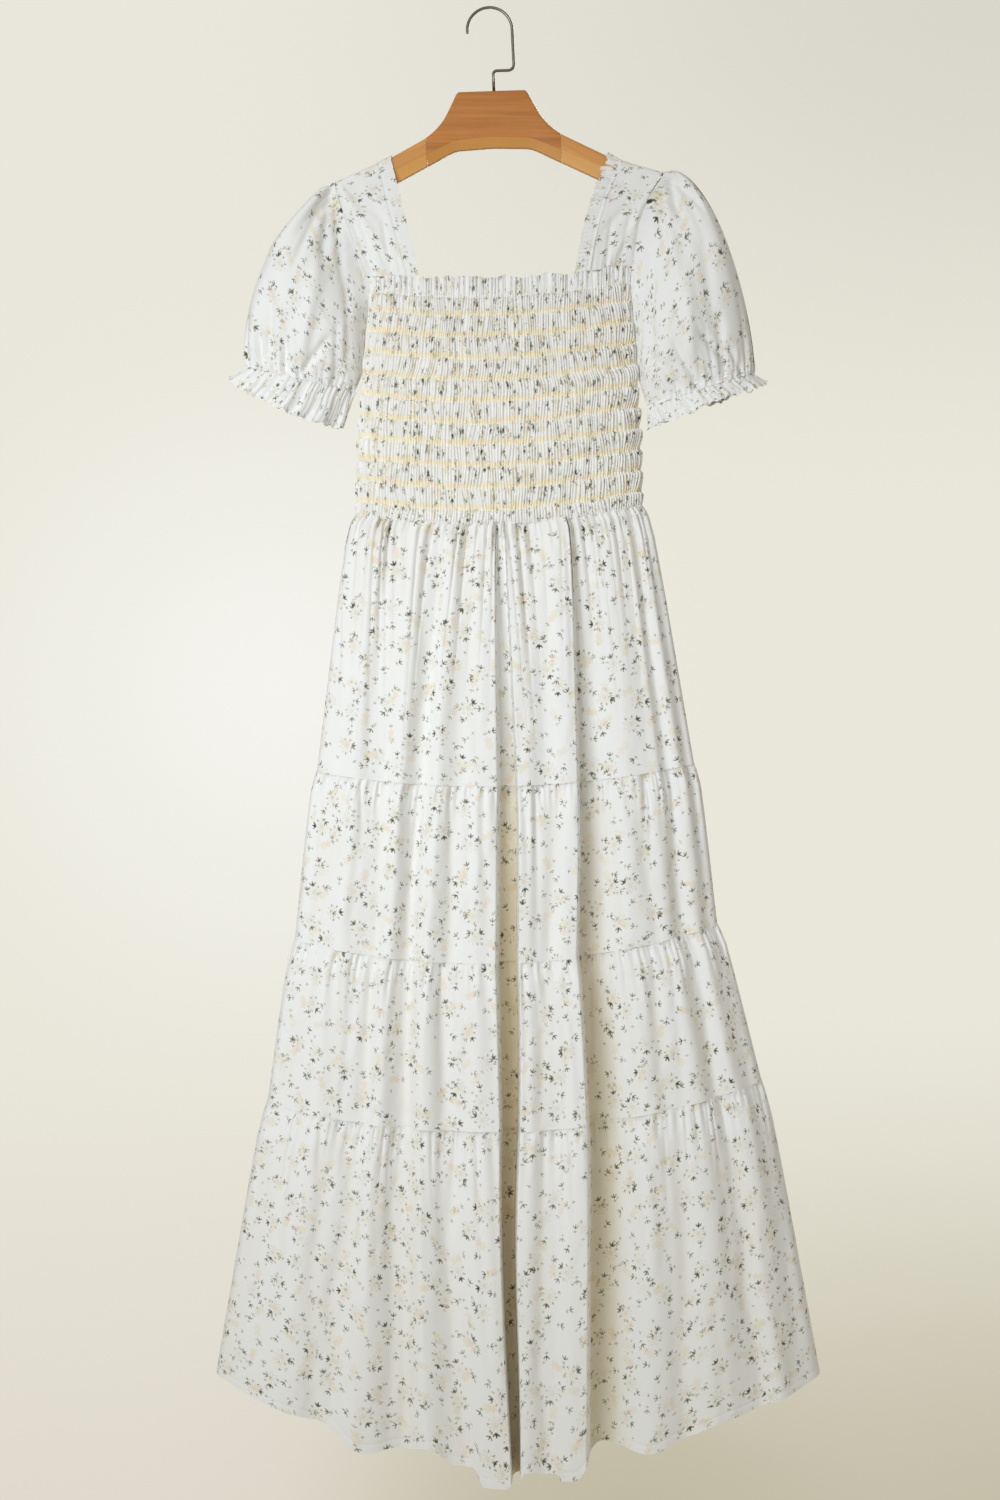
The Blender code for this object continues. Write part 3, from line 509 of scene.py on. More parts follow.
def smocking(face, numbers, share):
    """Places on the smocked panel, and the painted shade of its rib grooves, at elastic row numbers (with fractions)
    and shares across.
    """
    seed = SMOCK_SEEDS[face]
    k = np.minimum(numbers.astype(int), len(ROW_Z) - 2)
    f = numbers - k
    z = ROW_Z[k] + (ROW_Z[k + 1] - ROW_Z[k]) * f
    line = blend_lines(NECK_ELASTIC, WAIST, (z - NECK_ELASTIC[2]) / (WAIST[2] - NECK_ELASTIC[2]))
    t = bodice_t(line, face, share[None, :])
    puff = np.minimum(np.sin(math.pi / 2 * np.clip(f / 0.16, 0.0, 1.0)), 1 - np.clip((f - 0.16) / 0.84, 0.0, 1.0) ** 2.2)
    sag = (1.6 * puff * f)[:, None] + 0.9 * noise(share * 17 + 5.3 * np.round(numbers)[:, None], seed + 60) * np.clip(np.minimum(numbers, PUFFS - numbers), 0.0, 1.0)[:, None]
    plain = on_body(line[:, None, :], t, face, 0.0, sag)
    phase = rib_phase(share, numbers, seed)
    crest = np.abs(np.sin(math.pi * phase)) ** 0.8
    strength = 0.8 + 0.4 * noise(np.floor(phase) * 1.7 + k[:, None] * 13.1, seed + 77)
    edge = np.clip(np.minimum(share, 1 - share) * RIBS / 1.5, 0.0, 1.0)[None, :]
    last = np.clip(numbers - 10.0, 0.0, 1.0)[:, None]
    swell = (2.8 + 0.5 * noise(share * 14 + k[:, None] * 31.7, seed + 5)) * puff[:, None] * (1 - 0.7 * last)
    height = (swell - 2.7 + 1.3 * last + (1.6 + 1.6 * puff[:, None]) * crest * strength) * edge
    # Painted shade in the grooves between the ribs, for the cloth's colour.
    painted_fold_shade = 0.5 * (1 - crest) ** 1.5 * edge
    return (plain + normals_of(plain, face) * height[..., None] if len(numbers) > 1 else plain + height[..., None] * (0, face, 0)), painted_fold_shade


def show_elastic(material):
    """Lets the elastic glow through the smocked cloth: a soft yellow band along each row, 21.1 mm apart."""
    tree = material.node_tree
    shader = tree.nodes["Principled BSDF"]
    cloth = shader.inputs["Base Color"].links[0].from_socket
    uv = add(tree, "UVMap", uv_map="UVMap")
    fray = add(tree, "VectorMath", {0: uv, 1: (380.0, 60.0, 1.0)}, operation="MULTIPLY")
    ragged = add(tree, "TexNoise", {"Vector": fray, "Scale": 1.0, "Detail": 3.0})
    down = add(tree, "SeparateXYZ", {0: uv}).outputs[1]
    row = add(tree, "Math", {0: down, 1: -PUFFS / 0.232}, operation="MULTIPLY")
    shifted = add(tree, "Math", {0: ragged.outputs["Fac"], 1: 0.08, 2: row}, operation="MULTIPLY_ADD")
    nearest = add(tree, "Math", {0: shifted}, operation="ROUND")
    off = add(tree, "Math", {0: shifted, 1: nearest}, operation="SUBTRACT")
    apart = add(tree, "Math", {0: off, 1: 0.12}, operation="ADD")
    near = add(tree, "Math", {0: apart}, operation="ABSOLUTE")
    band = add(tree, "MapRange", {"Value": near, "From Min": 0.19, "From Max": 0.07}, interpolation_type="SMOOTHSTEP")
    inside = add(tree, "Math", {0: nearest, 1: (PUFFS + 0.1) / 2, 2: PUFFS / 2 - 0.6}, operation="COMPARE")
    worn = add(tree, "MapRange", {"Value": ragged.outputs["Fac"], "From Min": 0.38, "From Max": 0.6, "To Min": 1.0, "To Max": 0.25})
    amount = add(tree, "Math", {0: band, 1: inside}, operation="MULTIPLY")
    amount = add(tree, "Math", {0: amount, 1: worn}, operation="MULTIPLY")
    # Peach in places, about 60 mm apart along a row.
    blush = add(tree, "TexNoise", {"Vector": uv, "Scale": 34.0, "Detail": 1.0})
    warmer = add(tree, "MapRange", {"Value": blush.outputs["Fac"], "From Min": 0.54, "From Max": 0.7})
    glow = mixed(tree, warmer, linear("#fbecbe"), linear("#fbe2cb"))
    tree.links.new(mixed(tree, amount, cloth, glow), shader.inputs["Base Color"])


# The smocked cloth's ground is painted a paler white than the other pieces: painted light on the deeply ribbed bodice.
smocked = printed_crepe("smocked_cotton_crepe", "#fafaf8", 1.3)
show_elastic(smocked)
RIB_SHARE = np.linspace(0.0, 1.0, RIBS * 6 + 1)
for face, word in ((FRONT, "front"), (BACK, "back")):
    numbers = np.concatenate([k + np.array([0.0, 0.04, 0.09, 0.16, 0.3, 0.5, 0.7, 0.85]) for k in range(PUFFS)] + [[PUFFS]])
    places, painted_fold_shade = smocking(face, numbers, RIB_SHARE)
    panel = lay_grid(f"smocked_panel_{word}", places, RIB_SHARE * BODICE_CLOTH, numbers / PUFFS * 232.0, outward=face == FRONT)
    mark_painted_fold_shade(panel, painted_fold_shade)
    finish_piece(panel, smocked, "smocked_cotton", f"bodice_{word}")


# Neck frill, front and back: the top of the smocked cloth, left standing free above the first
# elastic row, turned in at its edge, so that it ruffles.
def neck_frill(face, seed):
    share = RIB_SHARE
    down = np.linspace(0.0, 1.0, 15)
    line = blend_lines(FRILL_TOP, NECK_ELASTIC, down)
    t = bodice_t(line, face, share[None, :])
    loose = (1.0 - down)[:, None]
    still = np.clip(np.minimum(share, 1 - share) * 40, 0.0, 1.0)
    pleat = np.abs(np.sin(math.pi * (46 * share + 1.5 * noise(share * 24, seed)))) ** 0.8 * (1.0 + 0.6 * noise(share * 46, seed + 1))
    ruffle = (3.2 * pleat - 1.3 + 1.2 * noise(share * 18, seed + 7)) * still
    edge = (1.5 * noise(share * 58, seed + 3) + 1.8 * noise(share * 22, seed + 4)) * loose * still
    places = on_body(line[:, None, :], t, face, -(ruffle - 0.5 + 0.8 * loose**2), edge)
    # Its lower edge is the smocked panel's own first row.
    sewn, painted_fold_shade = smocking(face, np.array([0.0]), share)
    # The frill's colour takes the panel's painted groove shade at its sewn edge, fading out towards its free edge.
    return places * loose[..., None] ** 0.8 + sewn * (1 - loose[..., None] ** 0.8), painted_fold_shade * (1 - loose)


for face, word, seed in ((FRONT, "front", 201), (BACK, "back", 231)):
    places, painted_fold_shade = neck_frill(face, seed)
    frill = lay_grid(f"neck_ruffle_{word}", places, RIB_SHARE * BODICE_CLOTH, np.linspace(-22, 0, 15), outward=face == FRONT)
    mark_painted_fold_shade(frill, painted_fold_shade)
    finish_piece(frill, crepe, "printed_cotton", f"neck_frill_{word}")


# Shoulder straps: plain panels of the printed cloth that pass over the hanger's arms, gathered
# where they are sewn to the top of the bodice, front and back.
STRAP_GUIDES = {
    # x at the foot, x and z half-way, and x on the arm
    LEFT: {"armhole": (-121.5, -144.5, -207.0, -153.0), "casing": (-83.0, -101.0, -208.0, -112.0), "neck": (-69.0, -84.5, -205.0, -97.5)},
    RIGHT: {"armhole": (143.0, 153.0, -205.0, 172.5), "casing": (101.0, 113.0, -206.0, 132.5), "neck": (86.0, 98.5, -204.0, 117.5)},
}
WRAP, WRAP_ROUND, LAY = 9.8, 5.5, 2.2


def arm_top(x):
    """Height of the top of a hanger arm at x."""
    side = LEFT if x < 0 else RIGHT
    tops = [tilted(side * s[0], 0.0, s[1]) for s in HANGER_SHAPE[6:11]]
    tops.sort(key=lambda top: top[0])
    return float(np.interp(x, [top[0] for top in tops], [top[2] for top in tops]))


def ease(share):
    return (1.0 - np.cos(math.pi * share)) / 2.0


def bow(share, first, middle, last):
    return first * 2 * (share - 0.5) * (share - 1) - middle * 4 * share * (share - 1) + last * 2 * share * (share - 0.5)


def guide_side(guide, face, share):
    """Places on a strap's guide, from its foot at the neck frill up to the arm."""
    foot_x, mid_x, mid_z, top_x = guide
    centre, half = (FRILL_TOP[0] + FRILL_TOP[1]) / 2, (FRILL_TOP[1] - FRILL_TOP[0]) / 2
    foot = on_body(FRILL_TOP, (foot_x - centre) / half, face)
    top_z = arm_top(top_x) + LAY
    x = bow(share, foot[0], mid_x, top_x)
    z = bow(share, foot[2], mid_z, top_z - WRAP_ROUND)
    y = foot[1] + (face * WRAP - foot[1]) * ease(share)
    return np.stack([x, y, z], -1)


def guide_over(guide):
    """A strap's guide from foot to foot: up the front, over the arm and down the back."""
    up = np.linspace(0.0, 1.0, 40)
    top_z = arm_top(guide[3]) + LAY
    turn = np.radians(np.linspace(0.0, 90.0, 6)[1:])
    front = np.stack([np.full(5, guide[3]), -WRAP + WRAP_ROUND - WRAP_ROUND * np.cos(turn), top_z - WRAP_ROUND + WRAP_ROUND * np.sin(turn)], 1)
    back = front[::-1] * (1, -1, 1)
    return np.concatenate([guide_side(guide, FRONT, up), front, back, guide_side(guide, BACK, up)[::-1]])


def creased(places, creases):
    """How far long creases go in at each place: each has its two ends as seen from the front, depth and width."""
    x, z = places[..., 0], places[..., 2]
    total = np.zeros(x.shape)
    for x1, z1, x2, z2, depth, width in creases:
        length = math.hypot(x2 - x1, z2 - z1)
        along = ((x - x1) * (x2 - x1) + (z - z1) * (z2 - z1)) / length
        off = ((x - x1) * (z2 - z1) - (z - z1) * (x2 - x1)) / length
        over = np.maximum(0.0, np.maximum(-along, along - length))
        fade = np.exp(-((over / (length * 0.3)) ** 2))
        total += depth * fade * np.exp(-((off / width) ** 2))
    return total


def facing_out(places):
    """Unit normals of an arch or a tube of cloth, pointing away from its middle, and whether a laid grid turns out."""
    normal = np.cross(np.gradient(places, axis=1), np.gradient(places, axis=0))
    normal /= np.maximum(np.linalg.norm(normal, axis=2, keepdims=True), 1e-9)
    out = np.sum(normal * (places - places.mean(axis=(0, 1)))) > 0
    return normal * (1 if out else -1), not out


def gathers(along, away, span, pitch, depth, length, width, seed, lean=0.05):
    """Tucks that start at a gathered seam. along and away are in mm, along the seam and away from it."""
    rng = np.random.default_rng(seed)
    count = max(1, round(span / pitch))
    centres = (np.arange(count) + rng.uniform(0.05, 0.95, count)) * span / count
    depths = depth * rng.uniform(0.35, 1.25, count)
    lengths = length * rng.lognormal(0.0, 0.45, count)
    widths = width * rng.uniform(0.7, 1.35, count)
    leans = rng.normal(0.0, lean, count)
    total = 0.0
    for c, d, reach, w, k in zip(centres, depths, lengths, widths, leans):
        total = total + d * np.exp(-((away / reach) ** 2)) * np.exp(-(((along - c - k * away) / (w * (1 + 0.5 * away / reach))) ** 2))
    return total


STRAP_CREASES = {
    LEFT: [(-150, -181, -118, -262, 2.4, 3.2), (-146, -184, -112, -232, -2.2, 3.6), (-139, -180, -104, -214, 1.7, 3.6), (-126, -222, -110, -266, 2, 2.9),
           (-104, -228, -97, -268, 2.2, 2.5), (-114, -236, -106, -268, -1.5, 2.2)],
    RIGHT: [(166, -186, 140, -262, 2.2, 3.6), (160, -190, 132, -236, -2, 3.6), (156, -178, 122, -216, 1.5, 3.6), (138, -222, 128, -262, 2.2, 2.9),
            (121, -226, 116, -264, 2, 2.5), (148, -214, 140, -260, -1.7, 2.9)],
}
for side, word in ((LEFT, "left"), (RIGHT, "right")):
    guides = {name: guide_over(guide) for name, guide in STRAP_GUIDES[side].items()}
    across = np.linspace(0.0, 1.0, 40)
    rows = len(guides["armhole"])
    down = np.linspace(0.0, 1.0, rows)
    places = guides["armhole"][:, None, :] * (1 - across[None, :, None]) + guides["casing"][:, None, :] * across[None, :, None]
    out, outward = facing_out(places)
    from_foot = np.minimum(down, 1 - down)[:, None] * 285.0
    height = -creased(places, STRAP_CREASES[side]) - gathers(across[None, :] * 40.0, from_foot, 40.0, 4.0, 1.5, 14.0, 1.2, 300 + side, 0.02)
    height += 0.5 * noise(across * 4 + down[:, None] * 9, 310 + side)
    height *= np.clip(from_foot / 4.0, 0.3, 1.0) * np.where(places[..., 2] > places[..., 2].max() - 9.0, 0.25, 1.0)
    height *= np.clip(across * 9.0, 0.1, 1.0)
    # Where the strap lies on the hanger's arm it can't sink in.
    height = np.maximum(height, -0.2 - np.maximum(0.0, places[..., 2].max(axis=0) - 34.0 - places[..., 2]) / 8.0)
    strap = lay_grid(f"shoulder_strap_{word}", places + out * height[..., None], across * 44.0, down * 285.0, outward=outward)
    finish_piece(strap, crepe, "printed_cotton", f"strap_{word}")


# Frills along the straps' neck edges: a folded strip of the cloth with a casing seam on its
# outer side, gathered a little so that its free edge waves.
for side, word in ((LEFT, "left"), (RIGHT, "right")):
    guides = {name: guide_over(guide) for name, guide in STRAP_GUIDES[side].items()}
    fine = np.linspace(0.0, len(guides["neck"]) - 1.0, 420)
    casing, edge = flow(guides["casing"], fine), flow(guides["neck"], fine)
    across = np.linspace(0.0, 1.0, 18)
    places = casing[:, None, :] * (1 - across[None, :, None]) + edge[:, None, :] * across[None, :, None]
    out, outward = facing_out(places)
    down = fine / fine[-1]
    near_arm = np.exp(-((np.minimum(np.abs(down - 0.39), np.abs(down - 0.61)) / 0.1) ** 2)) if side == RIGHT else 0.0 * down
    near_foot = np.exp(-((np.minimum(down, 1 - down) / 0.1) ** 2)) * (1.0 if side == RIGHT else 0.5)
    lively = ((0.5 if side == RIGHT else 0.2) + 1.5 * near_arm + 0.5 * near_foot)[:, None]
    ripple = 2.0 * np.abs(np.sin(math.pi * (58 * down[:, None] + 0.8 * across[None, :] + 0.8 * noise(down * 30, 360 + side)[:, None]))) ** 0.8 - 1.0
    wave = noise(down * 38, 330 + side)[:, None] + 0.6 * noise(down * 81, 340 + side)[:, None]
    height = (1.3 * wave + 1.2 * ripple) * lively * across[None, :] ** 0.6 + 0.5 * np.exp(-(((across[None, :] - 0.06) / 0.07) ** 2))
    height -= 0.6 * np.exp(-(((across[None, :] - 0.2) / 0.05) ** 2))
    if side == LEFT:
        height -= 0.9 * np.exp(-(((places[..., 2] + 208.0) / 1.1) ** 2))
    sideways = 1.4 * lively * (noise(down * 46, 350 + side)[:, None] + 0.5 * ripple) * across[None, :] ** 3
    places = places + out * height[..., None] + np.stack([-side * sideways, 0 * sideways, 0 * sideways], -1)
    frill = lay_grid(f"strap_ruffle_{word}", places, across * 17.0, down * 330.0, outward=outward)
    finish_piece(frill, crepe, "printed_cotton", f"strap_frill_{word}")


# Puff sleeves: wide sleeves eased into the armhole with tucks at the shoulder, and drawn in by
# elastic above the elbow.
ELASTIC_RINGS = {LEFT: (-241.0, -359.0, -134.0, -383.0, 26.0, 2.0), RIGHT: (263.0, -366.0, 157.0, -400.0, 26.0, 0.0)}
FRILL_RINGS = {LEFT: (-260.0, -368.0, -144.0, -417.0, 34.0, 13.0), RIGHT: (279.0, -372.0, 161.0, -419.0, 34.0, 4.0)}
PUFF_OUT = {LEFT: (29.0, 1.0), RIGHT: (31.0, 0.62)}
SLEEVE_CREASES = {
    LEFT: [(-157, -180, -163, -240, 4.3, 4.8), (-160, -182, -186, -243, 3.5, 4.8), (-153, -192, -146, -262, 3, 4), (-164, -183, -206, -232, -3, 4.8),
           (-218, -298, -219, -345, 4.1, 4.8), (-183, -364, -164, -340, 4.6, 3.6), (-206, -330, -200, -362, 3.2, 3.2), (-150, -330, -152, -378, 3.2, 4),
           (-232, -330, -228, -352, 3, 3.2), (-172, -270, -184, -340, -3.5, 7.2), (-140, -290, -139, -350, 2.7, 4)],
    RIGHT: [(179, -170, 187, -202, 4.6, 3.2), (169, -188, 173, -224, 4.1, 3.2), (190, -176, 206, -196, 3.5, 3.2), (176, -196, 186, -262, -3.2, 4.8),
            (214, -333, 234, -355, 3.8, 3.2), (230, -325, 234, -371, 4.3, 3.6), (241, -345, 249, -362, 3, 3.2), (163, -352, 186, -378, 3.2, 3.6),
            (186, -345, 204, -374, 3, 3.2), (214, -250, 222, -320, 3, 6.4), (160, -262, 160, -330, 2.7, 4.8), (196, -280, 200, -340, -3.2, 6.4)],
}


def armhole_places(side, face, w):
    """Places on an armhole's edge; w runs from 0 at the shoulder to 1 at the underarm."""
    guide = STRAP_GUIDES[side]["armhole"]
    top_z = arm_top(guide[3]) + LAY
    knots = [(guide[3], 0.0, top_z), (guide[3], face * (WRAP - WRAP_ROUND), top_z)]
    knots += [(guide[3], face * (WRAP - 0.29 * WRAP_ROUND), top_z - 0.29 * WRAP_ROUND), (guide[3], face * WRAP, top_z - WRAP_ROUND)]
    knots += list(guide_side(guide, face, np.array([0.7, 0.4, 0.12])))
    side_z = NECK_ELASTIC[2] + NECK_ELASTIC[3] + side * NECK_ELASTIC[4]
    bottom = WAIST[2] + WAIST[3] + side * WAIST[4]
    for k in range(5):
        z = side_z + (UNDERARM_Z - side_z) * ease(k / 4) ** 0.8
        line = blend_lines(NECK_ELASTIC, WAIST, (z - side_z) / (bottom - side_z))
        knots.append(on_body(line, bodice_t(line, face, np.array([0.0 if side == LEFT else 1.0]))[0, 0], face))
    knots[-1] = np.array(knots[-1]) * (1, 0, 1)
    return flow(knots, w * (len(knots) - 1))


def lying_flat(w):
    """How far a sleeve stands off, round from its outer fold (0) to the body (1), where it slopes down gently."""
    inner = 2 * np.maximum(w, 0.5) - 1
    return np.where(w < 0.5, np.sin(math.pi * np.minimum(w, 0.5)) ** 0.8, 0.5 * (1 - inner**1.5) + 0.5 * (1 - ease(inner)))


def ring_places(ring, w, face):
    """Places on a flattened ring of cloth; w is 0 at its outer end and 1 at its inner end."""
    out_x, out_z, in_x, in_z, depth, sag = ring
    reach, round_ = np.cos(math.pi * w), np.sin(math.pi * w)
    x = (out_x + in_x) / 2 + (out_x - in_x) / 2 * reach
    z = (out_z + in_z) / 2 + (out_z - in_z) / 2 * reach - sag * round_
    return np.stack([x, face * depth * lying_flat(w), z], -1)


def sleeve_places(side, face, w, share):
    """The puffed surface between armhole and elastic."""
    start = armhole_places(side, face, w) + np.array([side * 0.3, 0.0, 0.0])
    end = ring_places(ELASTIC_RINGS[side], w, face)
    crown = armhole_places(side, face, np.array([0.0]))[0]
    chord = np.array([ELASTIC_RINGS[side][0] - crown[0], 0.0, ELASTIC_RINGS[side][1] - crown[2]])
    across = np.array([-side * chord[2], 0.0, side * chord[0]])
    across /= np.linalg.norm(across)
    puff_out, skew = PUFF_OUT[side]
    swell = np.sin(math.pi * np.clip(share, 0, 1) ** skew)[:, None, None] ** 0.65
    out = across * puff_out * (np.cos(math.pi * w / 2) ** 2)[:, None]
    front = np.stack([0 * w, face * (22.0 if face == FRONT else 16.0) * lying_flat(w), 0 * w], -1)
    s = share[:, None, None]
    return start[None] * (1 - s) + end[None] * s + out[None] * swell + front[None] * np.sin(math.pi * s) ** 1.2


def drawn_in(share, side):
    """The elastic's gathers at a cuff, shared by the sleeve and its frill, at shares of the way round."""
    pleats = np.abs(np.sin(math.pi * (52 * share + 1.9 * noise(share * 27, 490 + side)))) ** 0.8
    return -1.6 + 2.4 * pleats * (1.0 + 0.7 * noise(share * 61, 495 + side))


for side, word in ((LEFT, "left"), (RIGHT, "right")):
    w = np.linspace(0.0, 1.0, 121)
    share = np.concatenate([np.linspace(0.0, 0.12, 14)[:-1], np.linspace(0.12, 0.86, 46)[:-1], np.linspace(0.86, 1.0, 18)])
    tube = np.concatenate([sleeve_places(side, FRONT, w, share), sleeve_places(side, BACK, w[::-1], share)[:, 1:]], axis=1)
    girth = np.linalg.norm(np.diff(tube[30], axis=0), axis=1)
    around = np.concatenate([[0.0], np.cumsum(girth)])
    around *= 380.0 / around[-1]
    out, outward = facing_out(tube)
    top, cuff = share[:, None] * 195.0, (1 - share)[:, None] * 195.0
    near_head = np.exp(-((np.minimum(around, 380.0 - around) / 75.0) ** 2))
    dips = gathers(around, top, 380.0, 8.0, 3.4, 36.0, 2.1, 400 + side) * near_head
    dips = dips + gathers(around, cuff, 380.0, 7.5, 2.9, 28.0, 2.0, 410 + side) + gathers(around, cuff, 380.0, 19.0, 2.2, 60.0, 5.0, 420 + side, 0.12)
    front_half = (np.arange(tube.shape[1]) <= 120).astype(float)
    dips = dips + creased(tube, SLEEVE_CREASES[side]) * front_half + creased(tube, [(x1 + 6 * side, z1 - 5, x2 - 4 * side, z2 + 4, d, k) for x1, z1, x2, z2, d, k in SLEEVE_CREASES[side]]) * (1 - front_half)
    dips = (dips + 0.8 * noise(around / 24 + 0.6 * share[:, None], 430 + side)) * np.clip(np.minimum(top, cuff) / 4.0, 0.0, 1.0)
    dips = dips - drawn_in(around / 380.0, side) * np.exp(-((cuff / 9.0) ** 2)) * np.clip(top / 4.0, 0.0, 1.0)
    tube = tube - out * dips[..., None]
    sleeve = lay_grid(f"puff_sleeve_{word}", tube, around, share * 200.0, outward=outward, ring=True)
    finish_piece(sleeve, crepe, "printed_cotton", f"sleeve_{word}")


# Cuff frills: the end of each sleeve below its elastic, hemmed narrow, flaring in ruffles.
for side, word in ((LEFT, "left"), (RIGHT, "right")):
    w = np.linspace(0.0, 1.0, 181)
    down = np.linspace(0.0, 1.0, 14)
    rings = []
    for face, ws in ((FRONT, w), (BACK, w[::-1][1:])):
        upper, lower = ring_places(ELASTIC_RINGS[side], ws, face), ring_places(FRILL_RINGS[side], ws, face)
        lower[:, 2] += 6.0 * np.sin(math.pi * ws) * (face == BACK)
        rings.append(upper[None] * (1 - down[:, None, None]) + lower[None] * down[:, None, None])
    tube = np.concatenate(rings, axis=1)
    girth = np.linalg.norm(np.diff(tube[0], axis=0), axis=1)
    around = np.concatenate([[0.0], np.cumsum(girth)]) / girth.sum()
    out, outward = facing_out(tube)
    loose = down[:, None] ** 0.8
    stray = around[None, :] + (0.01 * noise(down * 4.0 + side, 480)[:, None] + 0.008 * noise(around * 12, 481 + side)) * loose
    ruffle = 3.4 * noise(stray * 31, 450 + side) + 2.6 * noise(stray * 83, 460 + side) + 1.0 * noise(stray * 160, 465 + side)
    wave = drawn_in(stray, side) * (1 - 0.85 * loose**0.7) + ruffle * loose
    ripple = 2.0 * noise(around * 60, 470 + side) * loose
    still = np.clip(np.minimum(around, 1 - around) * 60, 0, 1)
    tube = tube + out * wave[..., None] + np.stack([0 * ripple, 0 * ripple, ripple * still], -1)
    frill = lay_grid(f"cuff_ruffle_{word}", tube, around * 560.0, down * 34.0 + 200.0, outward=outward, ring=True)
    finish_piece(frill, crepe, "printed_cotton", f"cuff_frill_{word}")


# The skirt: four tiers of the printed cloth, each cut longer round than the one above and gathered
# on to its lower edge, a front and a back to each. They hang in deep folds that run on to the hem.
SKIRT_LINES = np.array(
    (
        (-136.0, 156.0, -517.0, 15.0, 5.0, 26.0, 18.0),
        (-172.0, 205.0, -777.0, 18.0, 4.0, 40.0, 24.0),
        (-194.0, 228.0, -951.0, 28.5, 7.5, 52.0, 28.0),
        (-221.0, 272.0, -1115.0, 34.5, 10.5, 62.0, 32.0),
        (-272.0, 330.0, -1438.0, 78.0, 0.0, 78.0, 40.0),
    )
)
# Crests and valleys from side seam to side seam: t at the waist, at mid-skirt and at the hem, how far in
# the cloth stands at each, and how much lower its hem hangs.
FRONT_FOLDS = np.array(
    (
        (-1.00, -1.00, -1.00, 0, 0, 0, 0),
        (-0.90, -0.90, -0.94, 4, 6, 8, 0),
        (-0.80, -0.79, -0.77, 0, 0, 0, -2),
        (-0.72, -0.62, -0.63, 5, 8, 9, -6),
        (-0.55, -0.55, -0.52, -1, -2, -2, 10),
        (-0.39, -0.455, -0.365, 5, 13, 14, -2),
        (-0.30, -0.37, -0.29, -1, -2, -2, -8),
        (-0.21, -0.26, -0.20, 3, 6, 8, 6),
        (-0.08, -0.13, -0.045, 0, -2, -4, 24),
        (0.014, 0.04, 0.008, 7, 32, 36, 15),
        (0.09, 0.11, 0.03, -3, -12, -14, 6),
        (0.22, 0.20, 0.09, 2, -6, -8, 8),
        (0.41, 0.29, 0.18, -3, -12, -14, 16),
        (0.52, 0.38, 0.27, 5, 24, 26, -12),
        (0.74, 0.60, 0.44, 0, 2, 2, 6),
        (0.80, 0.70, 0.54, 2, 3, 9, 0),
        (0.83, 0.77, 0.66, 0, 1, 1, -4),
        (0.87, 0.835, 0.79, 6, 9, 11, -2),
        (0.92, 0.91, 0.87, 0, 0, 0, 0),
        (0.96, 0.955, 0.94, 3, 5, 6, 0),
        (1.00, 1.00, 1.00, 0, 0, 0, 0),
    )
)
BACK_FOLDS = FRONT_FOLDS[::-1] * (-1, -1, -1, 0.5, 0.5, 0.5, 0)
